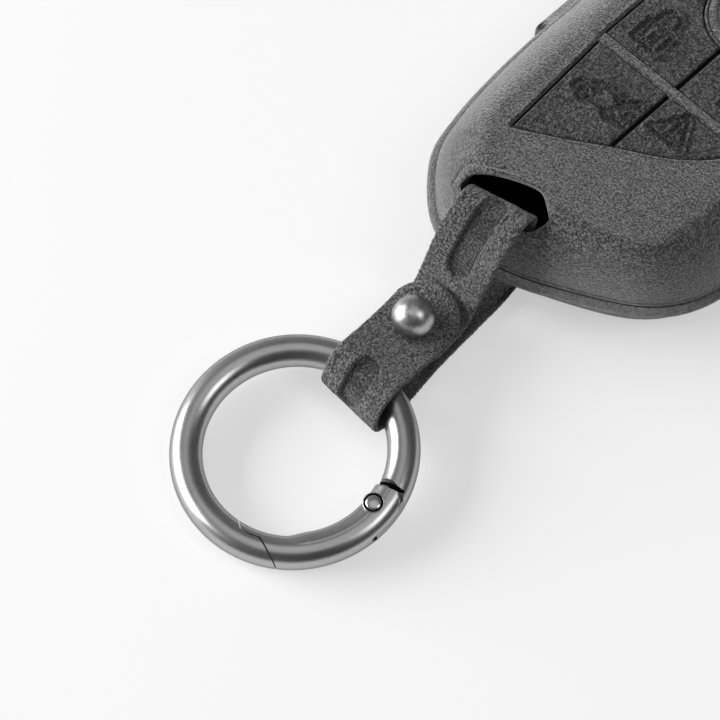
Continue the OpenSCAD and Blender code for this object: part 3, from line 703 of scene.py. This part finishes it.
# Rear half: a soft rolled lip at the seam stands a little proud of the front half.
RJOIN = 0.12
LIP_BACK = 0.62
lip = [(-0.15, 0.0), (-0.55, 0.0), (-0.85, 0.12), (-0.97, 0.35), (-0.97, 0.65), (-0.88, 0.95),
       (-0.72, 1.3), (-0.55, 1.7)]
rear_rings = [ring3(0, SKIN_T, SEAM_Z)]
rear_rings += [ring3(0, out + LIP_BACK, SEAM_Z - drop) for out, drop in lip]
rear_rings += [ring3(s, 0.0, rear_z(s)) for s in (0.035, 0.055, 0.075, 0.095, RJOIN)]
rear_parts = [(np.vstack(rear_rings), strip(len(outline), len(rear_rings), flip=True))]
rear_parts += skin(RJOIN, rear_z, rear_in, rear_height, [(rear_slot, 0.3, 0.0)], [], True, step=0.6)
V, F = weld(rear_parts)
PAD_Y, PAD_Z = 41.0, SEAM_Z * 0.56
SIDE_X, WINDOW_Y, WINDOW_Z = 19, 4.75, 1.95


def in_window(c):
    """Whether a point of the skin lies in the opening of a side pad, which stays open."""
    return abs(c[0]) > SIDE_X and abs(c[1] - PAD_Y) < WINDOW_Y and abs(c[2] - PAD_Z) < WINDOW_Z


F = [f for f in F if not in_window(V[f].mean(0))]
mesh_piece("cover_rear_suede", V, F, "rear_half", cover_mat, ["rear_skin"],
           {"edge": painted_rim_highlight(V)})


# ---- side mounds
MOUND_N = 96


def rounded_box(hy, hz, r):
    """MOUND_N points of a rounded rectangle in y and z."""
    out = []
    for k, (cy, cz) in enumerate(((1, 1), (-1, 1), (-1, -1), (1, -1))):
        for a in np.radians(np.linspace(90 * k, 90 * k + 90, 18)):
            out.append((cy * (hy - r) + r * math.cos(a), cz * (hz - r) + r * math.sin(a)))
    return resample(np.array(out), (4 * (hy + hz)) / MOUND_N)[:MOUND_N]


side_tree = dome_tree(rear_z, rear_in, 60)


def side_x(side, y, z):
    """How far out the lower half's side is at a place."""
    hit = side_tree.ray_cast(Vector((side * 60, y, z)), Vector((-side, 0, 0)))
    return abs(hit[0].x) if hit[0] is not None else HALF_W - 4


# Half sizes and corner radius of each ring of a mound, its x where that is set, and the share by
# which it is blended into the cover's side
FACE_X = HALF_W + 1.8
MOUND_RINGS = (
    (4.72, 1.92, 0.3, FACE_X - 2.4, 0), (4.7, 1.9, 0.3, FACE_X - 0.2, 0),
    (4.78, 1.98, 0.35, FACE_X - 0.03, 0), (5.0, 2.2, 0.55, FACE_X, 0),
    (5.3, 2.5, 0.85, FACE_X - 0.06, 0), (5.6, 2.75, 1.1, FACE_X - 0.25, 0.05),
    (5.95, 3.0, 1.35, FACE_X - 0.6, 0.2), (6.3, 3.2, 1.6, 0, 0.45), (6.8, 3.38, 1.8, 0, 0.68),
    (7.4, 3.52, 2.0, 0, 0.86), (8.2, 3.62, 2.2, 0, 0.97), (9.2, 3.7, 2.4, 0, 1.04))


def mound(side, name):
    """The suede swell round a side pad, from its window out to the cover's own side."""
    rings = []
    for hy, hz, r, x, blend in MOUND_RINGS:
        q = rounded_box(hy, hz, r)
        pts = []
        for dy, dz in q:
            y, z = PAD_Y + dy, PAD_Z + dz
            surf = side_x(side, y, min(z, SEAM_Z - 0.02))
            top = x if x > 0 else FACE_X - 0.6
            xx = top + (surf - top) * blend if blend else x
            pts.append((side * xx, y, z))
        rings.append(pts)
    V = np.array([p for ring in rings for p in ring])
    mesh_piece(name, V, strip(MOUND_N, len(rings), flip=side < 0), "rear_half",
               cover_mat)


mound(-1, "left_mound_suede")
mound(1, "right_mound_suede")


# ---- button patches
def icon_lines(kind, c, k):
    """Generic pictograms in strokes: boot lid, warning triangle, padlock open or shut.
    They lie round the point c, at k times their written size."""
    if kind == "boot":
        L = [[(-4.6, -1.2), (-4.4, 0.2), (-2.9, 0.6), (-1.7, 1.9), (0.8, 2.0), (2.2, 0.9)],
             [(-4.6, -1.2), (-3.4, -1.3)], [(-1.6, -1.3), (1.6, -1.3)],
             [(3.2, -1.3), (4.4, -1.2), (4.5, 0.4)],
             [(2.2, 0.9), (4.0, 3.0), (4.7, 2.6)],
             arc((-2.5, -1.4), 0.85, 0, 360, 20), arc((2.4, -1.4), 0.85, 0, 360, 20)]
    elif kind == "alarm":
        L = [[(-2.7, -2.1), (2.7, -2.1), (0, 2.5), (-2.7, -2.1)], [(0, -0.7), (0, 0.9)],
             [(0, -1.45), (0.05, -1.4)]]
    else:
        L = [[(-1.9, -3.0), (1.9, -3.0), (1.9, 0.4), (-1.9, 0.4), (-1.9, -3.0)],
             [(0, -1.8), (0, -0.8)]]
        sh = [(-1.2, 0.4), (-1.2, 1.9)] + arc((0, 1.9), 1.2, 180, 0, 14).tolist()
        L.append(sh + ([(1.2, 0.4)] if kind == "lock" else [(1.2, 1.4)]))
    return [resample(np.array(p, float) * k + c, 0.2, False) for p in L]


def stroke_distance(P, lines):
    """Distance from the points P to the nearest of several open lines."""
    return np.min([distance(P, q, False) for q in lines], axis=0)


def cut_field(P, gaps):
    """A convex outline with each side moved in by its own gap; curved stretches keep one gap."""
    P = np.asarray(P, float)
    n = len(P)
    out = []
    for i in range(n):
        a, b, c = P[i - 1], P[i], P[(i + 1) % n]
        g0, g1 = gaps[i - 1], gaps[i]
        u = (b - a) / np.linalg.norm(b - a)
        v = (c - b) / np.linalg.norm(c - b)
        nu, nv = np.array([-u[1], u[0]]), np.array([-v[1], v[0]])
        det = nu[0] * nv[1] - nu[1] * nv[0]
        if abs(det) < 0.02:
            out.append(b + nv * g1)
        else:
            r0, r1 = nu @ b + g0, nv @ b + g1
            out.append(np.array([(r0 * nv[1] - r1 * nu[1]) / det, (nu[0] * r1 - nv[0] * r0) / det]))
    return np.array(out)


ROLL = 0.24


def patch(name, node, body, P, kind, icon_at, size):
    """A button's suede patch with a rolled rim and its pictogram pressed in."""
    L = soft_loop(P, 0.2, 2)
    lines = icon_lines(kind, np.array(icon_at), size)
    wide = grid_points(L, 0.42)
    wide = wide[distance(wide, L) > 0.55]
    wide = wide[stroke_distance(wide, lines) > 0.8]
    fine = grid_points(L, 0.17)
    fine = fine[(stroke_distance(fine, lines) < 0.8) & (distance(fine, L) > 0.3)]
    rails = np.vstack([resample(push(L, -d), 0.22) for d in (0.06, 0.15, 0.27, 0.42)])
    v, f = triangulate(np.vstack([wide, fine, rails]), [L], lambda c: inside(c, L))
    d = distance(v, L)
    z = np.full(len(v), COVER_H) - rolled(d, ROLL) + 0.04 * np.exp(-((d - 0.3) / 0.14) ** 2)
    # The strokes are sunk with ragged edges, and the nap stands up beside them
    wave = np.sin(v[:, 0] * 9.1 + v[:, 1] * 5.3) * np.cos(v[:, 1] * 8.3 - v[:, 0] * 3.7)
    ragged = (stroke_distance(v, lines) + 0.2 * wave
              + 0.1 * np.sin(v[:, 0] * 17.3 - v[:, 1] * 14.1))
    z -= (0.36 + 0.08 * wave) * (1 - smooth01((ragged - 0.18) / 0.28))
    z += (0.3 + 0.2 * wave) * np.exp(-((ragged - 0.62) / 0.16) ** 2)
    z = np.where(d > 0.3, np.maximum(z, COVER_H - 0.29), z)
    under_z = COVER_H - SKIN_T + 0.28
    rim = [np.column_stack([loop, np.full(len(L), h)]) for loop, h in
           ((L, COVER_H - ROLL), (push(L, -0.35), under_z), (push(L, -0.5), under_z))]
    V, F = weld([(np.column_stack([v, z]), f), (np.vstack(rim), strip(len(L), 3, flip=True))])
    mesh_piece(name, V, F, body, patch_mat, [node])


def split_low(x0, x1):
    """The part of the lower row between two upright lines."""
    e = low_edge[(low_edge[:, 0] > x0 + 1e-6) & (low_edge[:, 0] < x1 - 1e-6)]
    y0 = np.interp(x0, low_edge[:, 0], low_edge[:, 1])
    y1 = np.interp(x1, low_edge[:, 0], low_edge[:, 1])
    return [[x0, y0]] + e.tolist() + [[x1, y1]]


bottom = split_low(low_edge[0, 0], 0.0)
gaps = [FINE_LINE] * (len(bottom) - 1) + [MID_LINE, BAR_LINE, SIDE_LINE]
patch("trunk_patch", "trunk_button", "trunk_key",
      cut_field(bottom + [[0, MID_Y], [-0.985 * PANEL_X, MID_Y]], gaps), "boot", (-6.1, 27.0), 0.98)
bottom = split_low(0.0, low_edge[-1, 0])
gaps = [FINE_LINE] * (len(bottom) - 1) + [BAR_LINE, MID_LINE]
patch("alarm_patch", "alarm_button", "alarm_key",
      cut_field(bottom + [[0, MID_Y]], gaps), "alarm", (4.3, 30.6), 1.12)
R_BITE = BADGE_R + 0.5 + 0.16
HI_TOP = TOP_Y + ROW_HIGH - 0.15
for kind, side, x0, x1 in (("unlock", -1, -HIGH_X + SIDE_LINE, -MID_LINE),
                           ("lock", 1, MID_LINE, HIGH_X - SIDE_LINE)):
    patch(kind + "_patch", kind + "_button", kind + "_key",
          bitten(x0, x1, TOP_Y + BAR_LINE, HI_TOP, R_BITE), kind, (side * 8.2, 41.4), 1.18)

# Badge: a bare disc, turned as a profile, with one pressed ring line
profile = [(0.0, 0.42), (1.2, 0.42), (2.4, 0.4), (3.6, 0.37), (4.5, 0.35), (4.95, 0.34), (5.1, 0.3),
           (5.22, 0.1), (5.35, 0.02), (5.55, 0.02), (5.7, 0.1), (5.82, 0.27), (5.97, 0.32), (6.3, 0.3),
           (6.6, 0.24), (6.8, 0.12), (6.9, -0.05), (6.93, -0.3), (6.93, -0.8), (6.2, -0.8)]
BADGE_N = 144
V = []
for r, z in profile:
    for i in range(BADGE_N):
        a = 2 * math.pi * i / BADGE_N
        V.append((BADGE[0] + r * math.cos(a), BADGE[1] + r * math.sin(a), COVER_H + z * 0.75))
V, F = weld([(V, strip(BADGE_N, len(profile), flip=True))], 1e-5)
mesh_piece("badge_suede", V, F, "front_half", cover_mat, ["badge_disc"])

# ---- strap
FACE_T, LINING_T = 0.75, 0.55
STRAP_T = FACE_T + LINING_T
HALF_T = STRAP_T / 2
WIRE_R, RING_R = 2.25, 14.75
FOLD_R = WIRE_R + 0.7
# The ring's wire bends away under the strap's width, so the fold sits a little in from its crown
sag = RING_R - math.sqrt(RING_R ** 2 - STRAP_W ** 2 / 4)
FOLD_U = RING_R - sag / 2 - 24
FOLD_Z = STRAP_T + FOLD_R
FRONT_STRAND = STRAP_T + 0.6 + 0.7 + HALF_T
TIP_STRAND = FRONT_STRAND + STRAP_T + 0.5 + 0.05
CREST = COVER_H - HALF_T * 0.46
TIP_U, TAIL_U = 6.6, 4.7
# The strap's middle line in its own upright plane, from the lifted tip over the stud to the fold
# round the ring, back under into the slot, up through the cover, out and down to the tail
route = [(TIP_U * a, TIP_STRAND + STRAP_T * h)
         for a, h in ((1, 2.0), (0.74, 0.92), (0.42, 0.32), (0, 0))]
route.append((FOLD_U * 0.5, TIP_STRAND + (FOLD_Z + FOLD_R + HALF_T - TIP_STRAND) * 0.42))
for i in range(7):
    a = math.radians(90 + 30 * i)
    route.append((FOLD_U + (FOLD_R + HALF_T) * math.cos(a), FOLD_Z + (FOLD_R + HALF_T) * math.sin(a)))
route.append((FOLD_U * 0.5, HALF_T))
for a, h in ((0.3, 0), (0.64, 0), (0.8, 0.02), (0.93, 0.12), (0.99, 0.325), (1, 0.745)):
    route.append((SLOT_U * a, HALF_T + (SEAM_Z - HALF_T) * h))
for a, h in ((1, 0.766), (0.99, 0.92), (0.93, 0.995), (0.83, 0.965), (0.72, 0.855), (0.61, 0.68),
             (0.51, 0.47), (0.42, 0.265), (0.33, 0.085), (0.22, 0.012), (0.05, 0)):
    route.append((SLOT_U * a, FRONT_STRAND + (CREST - FRONT_STRAND) * h))
route.append((-TAIL_U, FRONT_STRAND))
SPAN = 16
curve = catmull(route, SPAN, False)
arc_len = np.concatenate([[0], np.cumsum(np.linalg.norm(np.diff(curve, axis=0), axis=1))])


def at_route(k):
    """Arc length at a place of the route, counted in its points."""
    return float(np.interp(k * SPAN, np.arange(len(curve)), arc_len))


GROOVE_W, GROOVE_D = 3.7, 0.66
GR = GROOVE_W / 2
# Stations along the strap, closer together at its ends and at the ends of its two pressed grooves
grooves = [(at_route(14 / 3), at_route(26 / 3)), (at_route(61 / 3), at_route(76 / 3))]
total = arc_len[-1]
stations = set(np.round(np.arange(0, total, 0.17), 3).tolist() + [total])
for a, b in grooves:
    for g, sign in ((a, 1), (b, -1)):
        stations = {s for s in stations if abs(s - g) > 0.12}
        for d in (-0.16, -0.05, 0.01, 0.035, 0.08, 0.15, 0.25, 0.38):
            stations.add(round(g + sign * d, 3))
for d in (0.01, 0.03, 0.07, 0.13):
    stations |= {d, round(total - d, 3)}
stations = np.array(sorted(stations))
centre = np.stack([np.interp(stations, arc_len, curve[:, k]) for k in range(2)], 1)
# Directions along the line, eased, and across the strap's thickness
fwd = np.gradient(centre, stations, axis=0)
fwd /= np.linalg.norm(fwd, axis=1)[:, None]
for _ in range(2):
    fwd[1:-1] = (fwd[:-2] + 2 * fwd[1:-1] + fwd[2:]) / 4
    fwd /= np.linalg.norm(fwd, axis=1)[:, None]
normal = np.stack([fwd[:, 1], -fwd[:, 0]], 1)
# Half widths: of the strap, with its round ends, and below of the grooves, with theirs
half_strap = STRAP_W / 2
end_dist = np.minimum(stations, total - stations)
edge_w = np.where(end_dist < half_strap,
                  np.sqrt(np.maximum(half_strap ** 2 - (half_strap - end_dist) ** 2, 0.0)), half_strap)
edge_w = np.maximum(edge_w, 0.02)
# The strap is cut by hand: the front strand is a little narrower and leans at its crest, and the
# folded end runs a little to the right
place = np.interp(stations, arc_len, np.arange(len(curve)) / SPAN)
front = smooth01((place - 19) / 1.5)
crest = smooth01((place - 17.6) / 2.6) * (1 - smooth01((place - 21.5) / 6))
folded = smooth01((place - 4.5) / 2) * (1 - smooth01((place - 10) / 2))
edge_w *= 1 - 0.06 * front
side_shift = 0.2 * front + 0.2 * crest + np.where(place < 14, 0.065 * np.maximum(-centre[:, 0], 0), 0)
gw = GR * edge_w / half_strap
deep = np.zeros(len(stations))
for a, b in grooves:
    into = np.minimum(stations - a, b - stations)
    in_ = into > 0
    shape = np.where(into < GR, np.sqrt(np.maximum(GR ** 2 - (GR - np.clip(into, 0, GR)) ** 2, 0)), GR)
    gw = np.where(in_, np.maximum(shape, 0.03), gw)
    deep = np.where(in_, 1.0, deep)
    out = -into
    gw = np.where(~in_ & (out < 1.6), np.minimum(gw, 0.03 + (GR - 0.03) * smooth01(out / 1.6)), gw)

# Columns across the strap: a rail, the groove's floor, a rail, with a steep wall between them
IN_N, OUT_N = 22, 21
WALL = 0.06
cols = [("out", -1, 1 - k / OUT_N) for k in range(OUT_N + 1)]
cols += [("in", 0, -1 + 2 * k / IN_N) for k in range(IN_N + 1)]
cols += [("out", 1, k / OUT_N) for k in range(OUT_N + 1)]


def strap_point(u, w, z):
    """Points of the strap, one row for each station, in the cover's frame.
    u runs along the strap, w across it, z is the height."""
    lean = [a if np.ndim(w) == 1 else a[:, None] for a in (crest, folded, side_shift)]
    u = u + 0.2 * lean[0] * w - 0.08 * lean[1] * (w + half_strap)
    w = w + lean[2]
    return np.stack([stud_at[0] + w * math.cos(LEAN) - u * math.sin(LEAN),
                     stud_at[1] + w * math.sin(LEAN) + u * math.cos(LEAN), z], -1)


def strap_sheet(w, level):
    """The same, from the level over the strap's middle line."""
    u, z = (centre[:, k:k + 1] + normal[:, k:k + 1] * level for k in (0, 1))
    return strap_point(u, w, z)


n_st, n_col = len(stations), len(cols)
W, H, floor_a = np.zeros((3, n_st, n_col))
wall = WALL * np.minimum(gw / 0.3, 1)
for c, (kind, side, t) in enumerate(cols):
    if kind == "out":
        near = gw + wall
        W[:, c] = side * (near + (edge_w - near) * t)
        H[:, c] = -rolled(edge_w - np.abs(W[:, c]), 0.16)
    else:
        W[:, c] = t * np.where(deep > 0, np.maximum(gw - wall, 0.0), gw)
        H[:, c] = -GROOVE_D * deep
        floor_a[:, c] = deep


def field(shape, rounds):
    """Random numbers with a spread of one, softened over their neighbours."""
    g = rng.normal(size=shape)
    for _ in range(rounds):
        for axis in (0, 1):
            g = (np.roll(g, 1, axis) + 2 * g + np.roll(g, -1, axis)) / 4
    return g / g.std()


# The worn face is pebbled, less so in the grooves, and its cut edge is fuzzy
pebble = 0.55 * field((n_st, n_col), 1) + 0.9 * (0.8 - np.abs(field((n_st, n_col), 2)))
even = np.clip(np.gradient(stations) / 0.16, 0.1, 1)[:, None]
amp = np.where(floor_a > 0, 0.02, 0.055) * even
H = H + pebble * amp
fuzz = rng.normal(size=(n_st, n_col)) * 0.05
fuzz[:, 1:-1] = 0
W = W + fuzz * even
top = strap_sheet(W, HALF_T + H)


def layer_rows(level, spread, jitter=0.0):
    """A left and a right rail of the strap at one level across its thickness."""
    rails = []
    for side in (-1, 1):
        w = side * (edge_w + spread) + rng.normal(size=n_st) * jitter
        c = centre + normal * level
        rails.append(strap_point(c[:, 0], w, c[:, 1]))
    return rails


def by_column(k, *groups):
    """A value for every point of k columns, from groups of columns and the value that they get."""
    values = np.zeros((n_st, k))
    for columns, value in groups:
        values[:, columns] = value
    return values.ravel()


mid_l, mid_r = layer_rows(HALF_T - FACE_T * 0.45, 0.04, 0.02)
low_l, low_r = layer_rows(HALF_T - FACE_T, -0.01, 0.0)
section = np.concatenate([low_l[:, None], mid_l[:, None], top, mid_r[:, None], low_r[:, None]], 1)
k = section.shape[1]
V = section.reshape(-1, 3)
F = strip(k, n_st, flip=True) + caps(k, n_st, flip=True)
inner = slice(2, -2)
# The cut edges get a painted highlight; the pebbles get painted highlights on their tops and painted
# shade in their pits, and the grooves' floors painted shade.
mesh_piece("strap_suede_face", V, F, "strap", strap_mat, ["strap_face"],
           {"groove": by_column(k, (inner, floor_a)),
            "edge": by_column(k, ([0, -1], 0.1), ([2, -3], 0.3)),
            "painted_relief_shading": by_column(k, (inner, pebble * np.where(floor_a > 0, 0.5, 1.0)))})

# The lining is thinner at its edges round the ring, and at the crest, where the cover's edge is
LINING_N = 22
W = (edge_w - 0.05)[:, None] * np.linspace(-1, 1, LINING_N)[None, :]
thin = smooth01((np.abs(W) - 2.0) / 2.6)
round_ring = smooth01((place - 3) / 2) * (1 - smooth01((place - 12) / 2))
H = (0.42 * thin * round_ring[:, None] + 0.5 * crest[:, None]
     + rolled(edge_w[:, None] - 0.05 - np.abs(W), 0.14) + rng.normal(size=W.shape) * 0.015 * even)
bottom = strap_sheet(W, -HALF_T + H)
up_l, up_r = layer_rows(HALF_T - FACE_T, -0.06)
section = np.concatenate([up_l[:, None], bottom, up_r[:, None]], 1)
section[:, :, 2] = np.maximum(section[:, :, 2], 0.01)
k = section.shape[1]
V = section.reshape(-1, 3)
F = strip(k, n_st) + caps(k, n_st)
# The lining's edges get a painted highlight.
mesh_piece("strap_lining_layer", V, F, "strap", lining_mat, ["strap_lining"],
           {"edge": by_column(k, ([0, -1], 0.15), ([1, -2], 0.25)), "groove": by_column(k)})

# ---- pin head
# The pin's end is domed and stands in a round boss of the gate, with a fine gap between them
pin_up = Vector(RING_AXIS).normalized()
pin_x = Vector((0, 1, 0)).cross(pin_up).normalized()
pin_y = pin_up.cross(pin_x)
TURNED_N = 56


def turned(name, material, profile):
    """A round piece of the gate on the pin's axis, from pairs of radius and height in mm."""
    V = []
    for r, h in profile:
        for i in range(TURNED_N):
            a = 2 * math.pi * i / TURNED_N
            q = PIN_AT / MM + pin_x * (r * math.cos(a)) + pin_y * (r * math.sin(a)) + pin_up * h
            V.append((q.x, q.y + ORIGIN_Y, q.z))
    F = strip(TURNED_N, len(profile)) + caps(TURNED_N, len(profile))
    mesh_piece(name, V, F, "gate", material)


PIN_R = 1.08
pin_dome = [(PIN_R * math.sin(t), 2.26 + 0.3 * math.cos(t)) for t in np.linspace(math.pi / 2, 0.02, 9)]
turned("gate_pin_head", pin_mat, [(0.02, -1.9), (1.0, -1.9), (PIN_R, -1.8)] + pin_dome)
turned("gate_boss", ring_mat,
       [(1.0, -1.6), (1.4, -1.6), (1.5, -1.4), (1.52, 0), (1.52, 2.05), (1.48, 2.24), (1.42, 2.31),
        (1.38, 2.32), (1.34, 2.3), (1.32, 2.2), (1.0, 2.1)])
# A thin dark surface of painted shade stands for the shadow in the gap round the pin
turned("gate_pin_gap_shade", gap_shade_mat, [(1.0, 1.8), (1.33, 1.8), (1.33, 2.27), (1.0, 2.27)])


def on_ring(turn, round_wire, in_by, across, along):
    """A point of a tube that follows the ring, its middle line moved in, its section an ellipse.
    turn goes round the ring and round_wire round its wire, both in degrees."""
    t, a = math.radians(turn), math.radians(round_wire)
    out = pin_x * math.cos(t) + pin_y * math.sin(t)
    q = Vector(RING_C) / MM + out * (RING_R - in_by + across * math.cos(a))
    q += pin_up * (along * math.sin(a))
    return (q.x, q.y + ORIGIN_Y, q.z)


# The gate is a little thicker than the wire, on the ring's inner side, and eases out to both ends
V = []
SWELL_N = 40
turns = np.concatenate([[19.2, 19.0, 18.6], np.linspace(18, -52, 60)])
for turn in turns:
    full = min(smooth01((turn + 52) / 16), (19.4 - turn) / 0.9, 1)
    for i in range(SWELL_N):
        V.append(on_ring(turn, i * 360 / SWELL_N, 0.42 * full, 2.2 + 0.08 * full, 2.19 + 0.04 * full))
F = strip(SWELL_N, len(turns)) + caps(SWELL_N, len(turns))
mesh_piece("gate_inner_swell", V, F, "gate", ring_mat)

# The open end of the gap over the hinge: a thin dark strip of painted shade, just over the wire's
# radius, stands for the shadow in it
V = []
GAP_N, GAP_FOOT, GAP_TOP = 21, 2.1, 2.29
for t in np.linspace(-1, 1, GAP_N):
    round_wire, mid = 101 + 57 * t, 19.6 + 0.3 * t + 0.7 * t * t
    half = 1.3 * math.sqrt(max(1 - t * t, 0)) + 0.08
    for turn, r in ((mid - half, GAP_FOOT), (mid - half, GAP_TOP),
                    (mid + half, GAP_TOP), (mid + half, GAP_FOOT)):
        V.append(on_ring(turn, round_wire, 0, r, r))
mesh_piece("gate_hinge_gap_shade", V, strip(4, GAP_N) + caps(4, GAP_N), "ring", gap_shade_mat)

# ---- metal edges
# A small bevel on the solids' own edges, its width in mm
for node, width in {"ring_body": 0.1, "ring_gate": 0.1, "gate_pin": 0.18, "stud_head": 0.05,
                    "stud_screw": 0.08, "gate_plunger": 0.1}.items():
    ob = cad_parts[node]
    bev = ob.modifiers.new("soft_edge", "BEVEL")
    bev.width = width * MM
    bev.segments = 2
    bev.limit_method = "ANGLE"
    bev.angle_limit = math.radians(38)
    bev.harden_normals = False

# ---- stage
FLOOR_R = 3.0
floor_me = bpy.data.meshes.new("floor")
corners = [(x * FLOOR_R, y * FLOOR_R, 0) for x, y in ((-1, -1), (1, -1), (1, 1), (-1, 1))]
floor_me.from_pydata(corners, [], [(0, 1, 2, 3)])
floor = new_object("floor", floor_me)
fm, nt, p, co = node_material("floor_paper")
col = ramp(nt, noise(nt, co, 12.0, 2.0), [(0.3, 0.95), (0.7, 0.97)])
nt.links.new(col, p.inputs["Base Color"])
fill(p, {"Roughness": 0.9, "Specular IOR Level": 0.1})
# Half of it glows for the camera and for reflections, so that it is pale and keeps the shadow
glow = put(nt, "ShaderNodeEmission", Color=(1, 1, 1, 1), Strength=1.0)
path = put(nt, "ShaderNodeLightPath")
see = math_node(nt, "MAXIMUM", path.outputs["Is Camera Ray"], path.outputs["Is Glossy Ray"])
mix = put(nt, "ShaderNodeMixShader")
feed(nt, mix, (math_node(nt, "MULTIPLY", see, 0.5), p.outputs[0], glow.outputs[0]))
nt.links.new(mix.outputs[0], nt.nodes["Material Output"].inputs["Surface"])
floor_me.materials.append(fm)

world = bpy.data.worlds.new("studio")
bpy.context.scene.world = world
world.use_nodes = True
nt = world.node_tree
bg = nt.nodes["Background"]
# Soft light, stronger from the left and from straight above; the camera itself sees white
sep = put(nt, "ShaderNodeSeparateXYZ")
nt.links.new(put(nt, "ShaderNodeTexCoord").outputs["Generated"], sep.inputs[0])
left_side = math_node(nt, "MULTIPLY_ADD", sep.outputs["X"], -0.45,
                      math_node(nt, "MULTIPLY_ADD", sep.outputs["Z"], -0.2, 0.5))
sky = ramp(nt, left_side, [(0.1, 0.06), (0.5, 0.14), (0.9, 0.4)])
above = ramp(nt, sep.outputs["Z"], [(0.86, 0.0), (0.95, 0.6)])
path = put(nt, "ShaderNodeLightPath")
nt.links.new(mix_colour(nt, path.outputs["Is Camera Ray"], vector_math(nt, "ADD", sky, above),
                        (1, 1, 1, 1)), bg.inputs["Color"])
bg.inputs["Strength"].default_value = 1.0


def lamp(name, at, size, power):
    """A soft box, in metres and watts, that faces the part."""
    d = bpy.data.lights.new(name, "AREA")
    d.shape = "RECTANGLE"
    d.size, d.size_y = size
    d.energy = power
    o = new_object(name, d)
    o.location = at
    o.rotation_mode = "QUATERNION"
    o.rotation_quaternion = (Vector(LIT_AT) - Vector(at)).to_track_quat("-Z", "Y")


LIT_AT = (0, -0.02, 0)
lamp("key_left", (-0.73, -0.55, 0.34), (0.8, 0.5), 15.3)
lamp("top_soft", (0.5, 0.18, 0.73), (0.35, 0.35), 1.3)

# ---- camera
# Fitted to the ring's two ellipses in the photograph: back points from the part to the camera, and
# right along the picture's lower edge
cam = bpy.data.cameras.new("camera")
cam_o = new_object("camera", cam)
cam.sensor_width = 36.0
cam.lens = 114.435
cam.clip_start, cam.clip_end = 0.01, 20
back = Vector((0.3184, -0.3299, 0.8887)).normalized()
right = Vector((0.70345, 0.71065, 0.01178))
right = (right - back * right.dot(back)).normalized()
up = back.cross(right)
m = Matrix((right, up, back)).transposed().to_4x4()
m.translation = Vector((0.09436, -0.13914, 0.28358))
cam_o.matrix_world = m
bpy.context.scene.camera = cam_o

bpy.context.scene.view_settings.view_transform = "Standard"
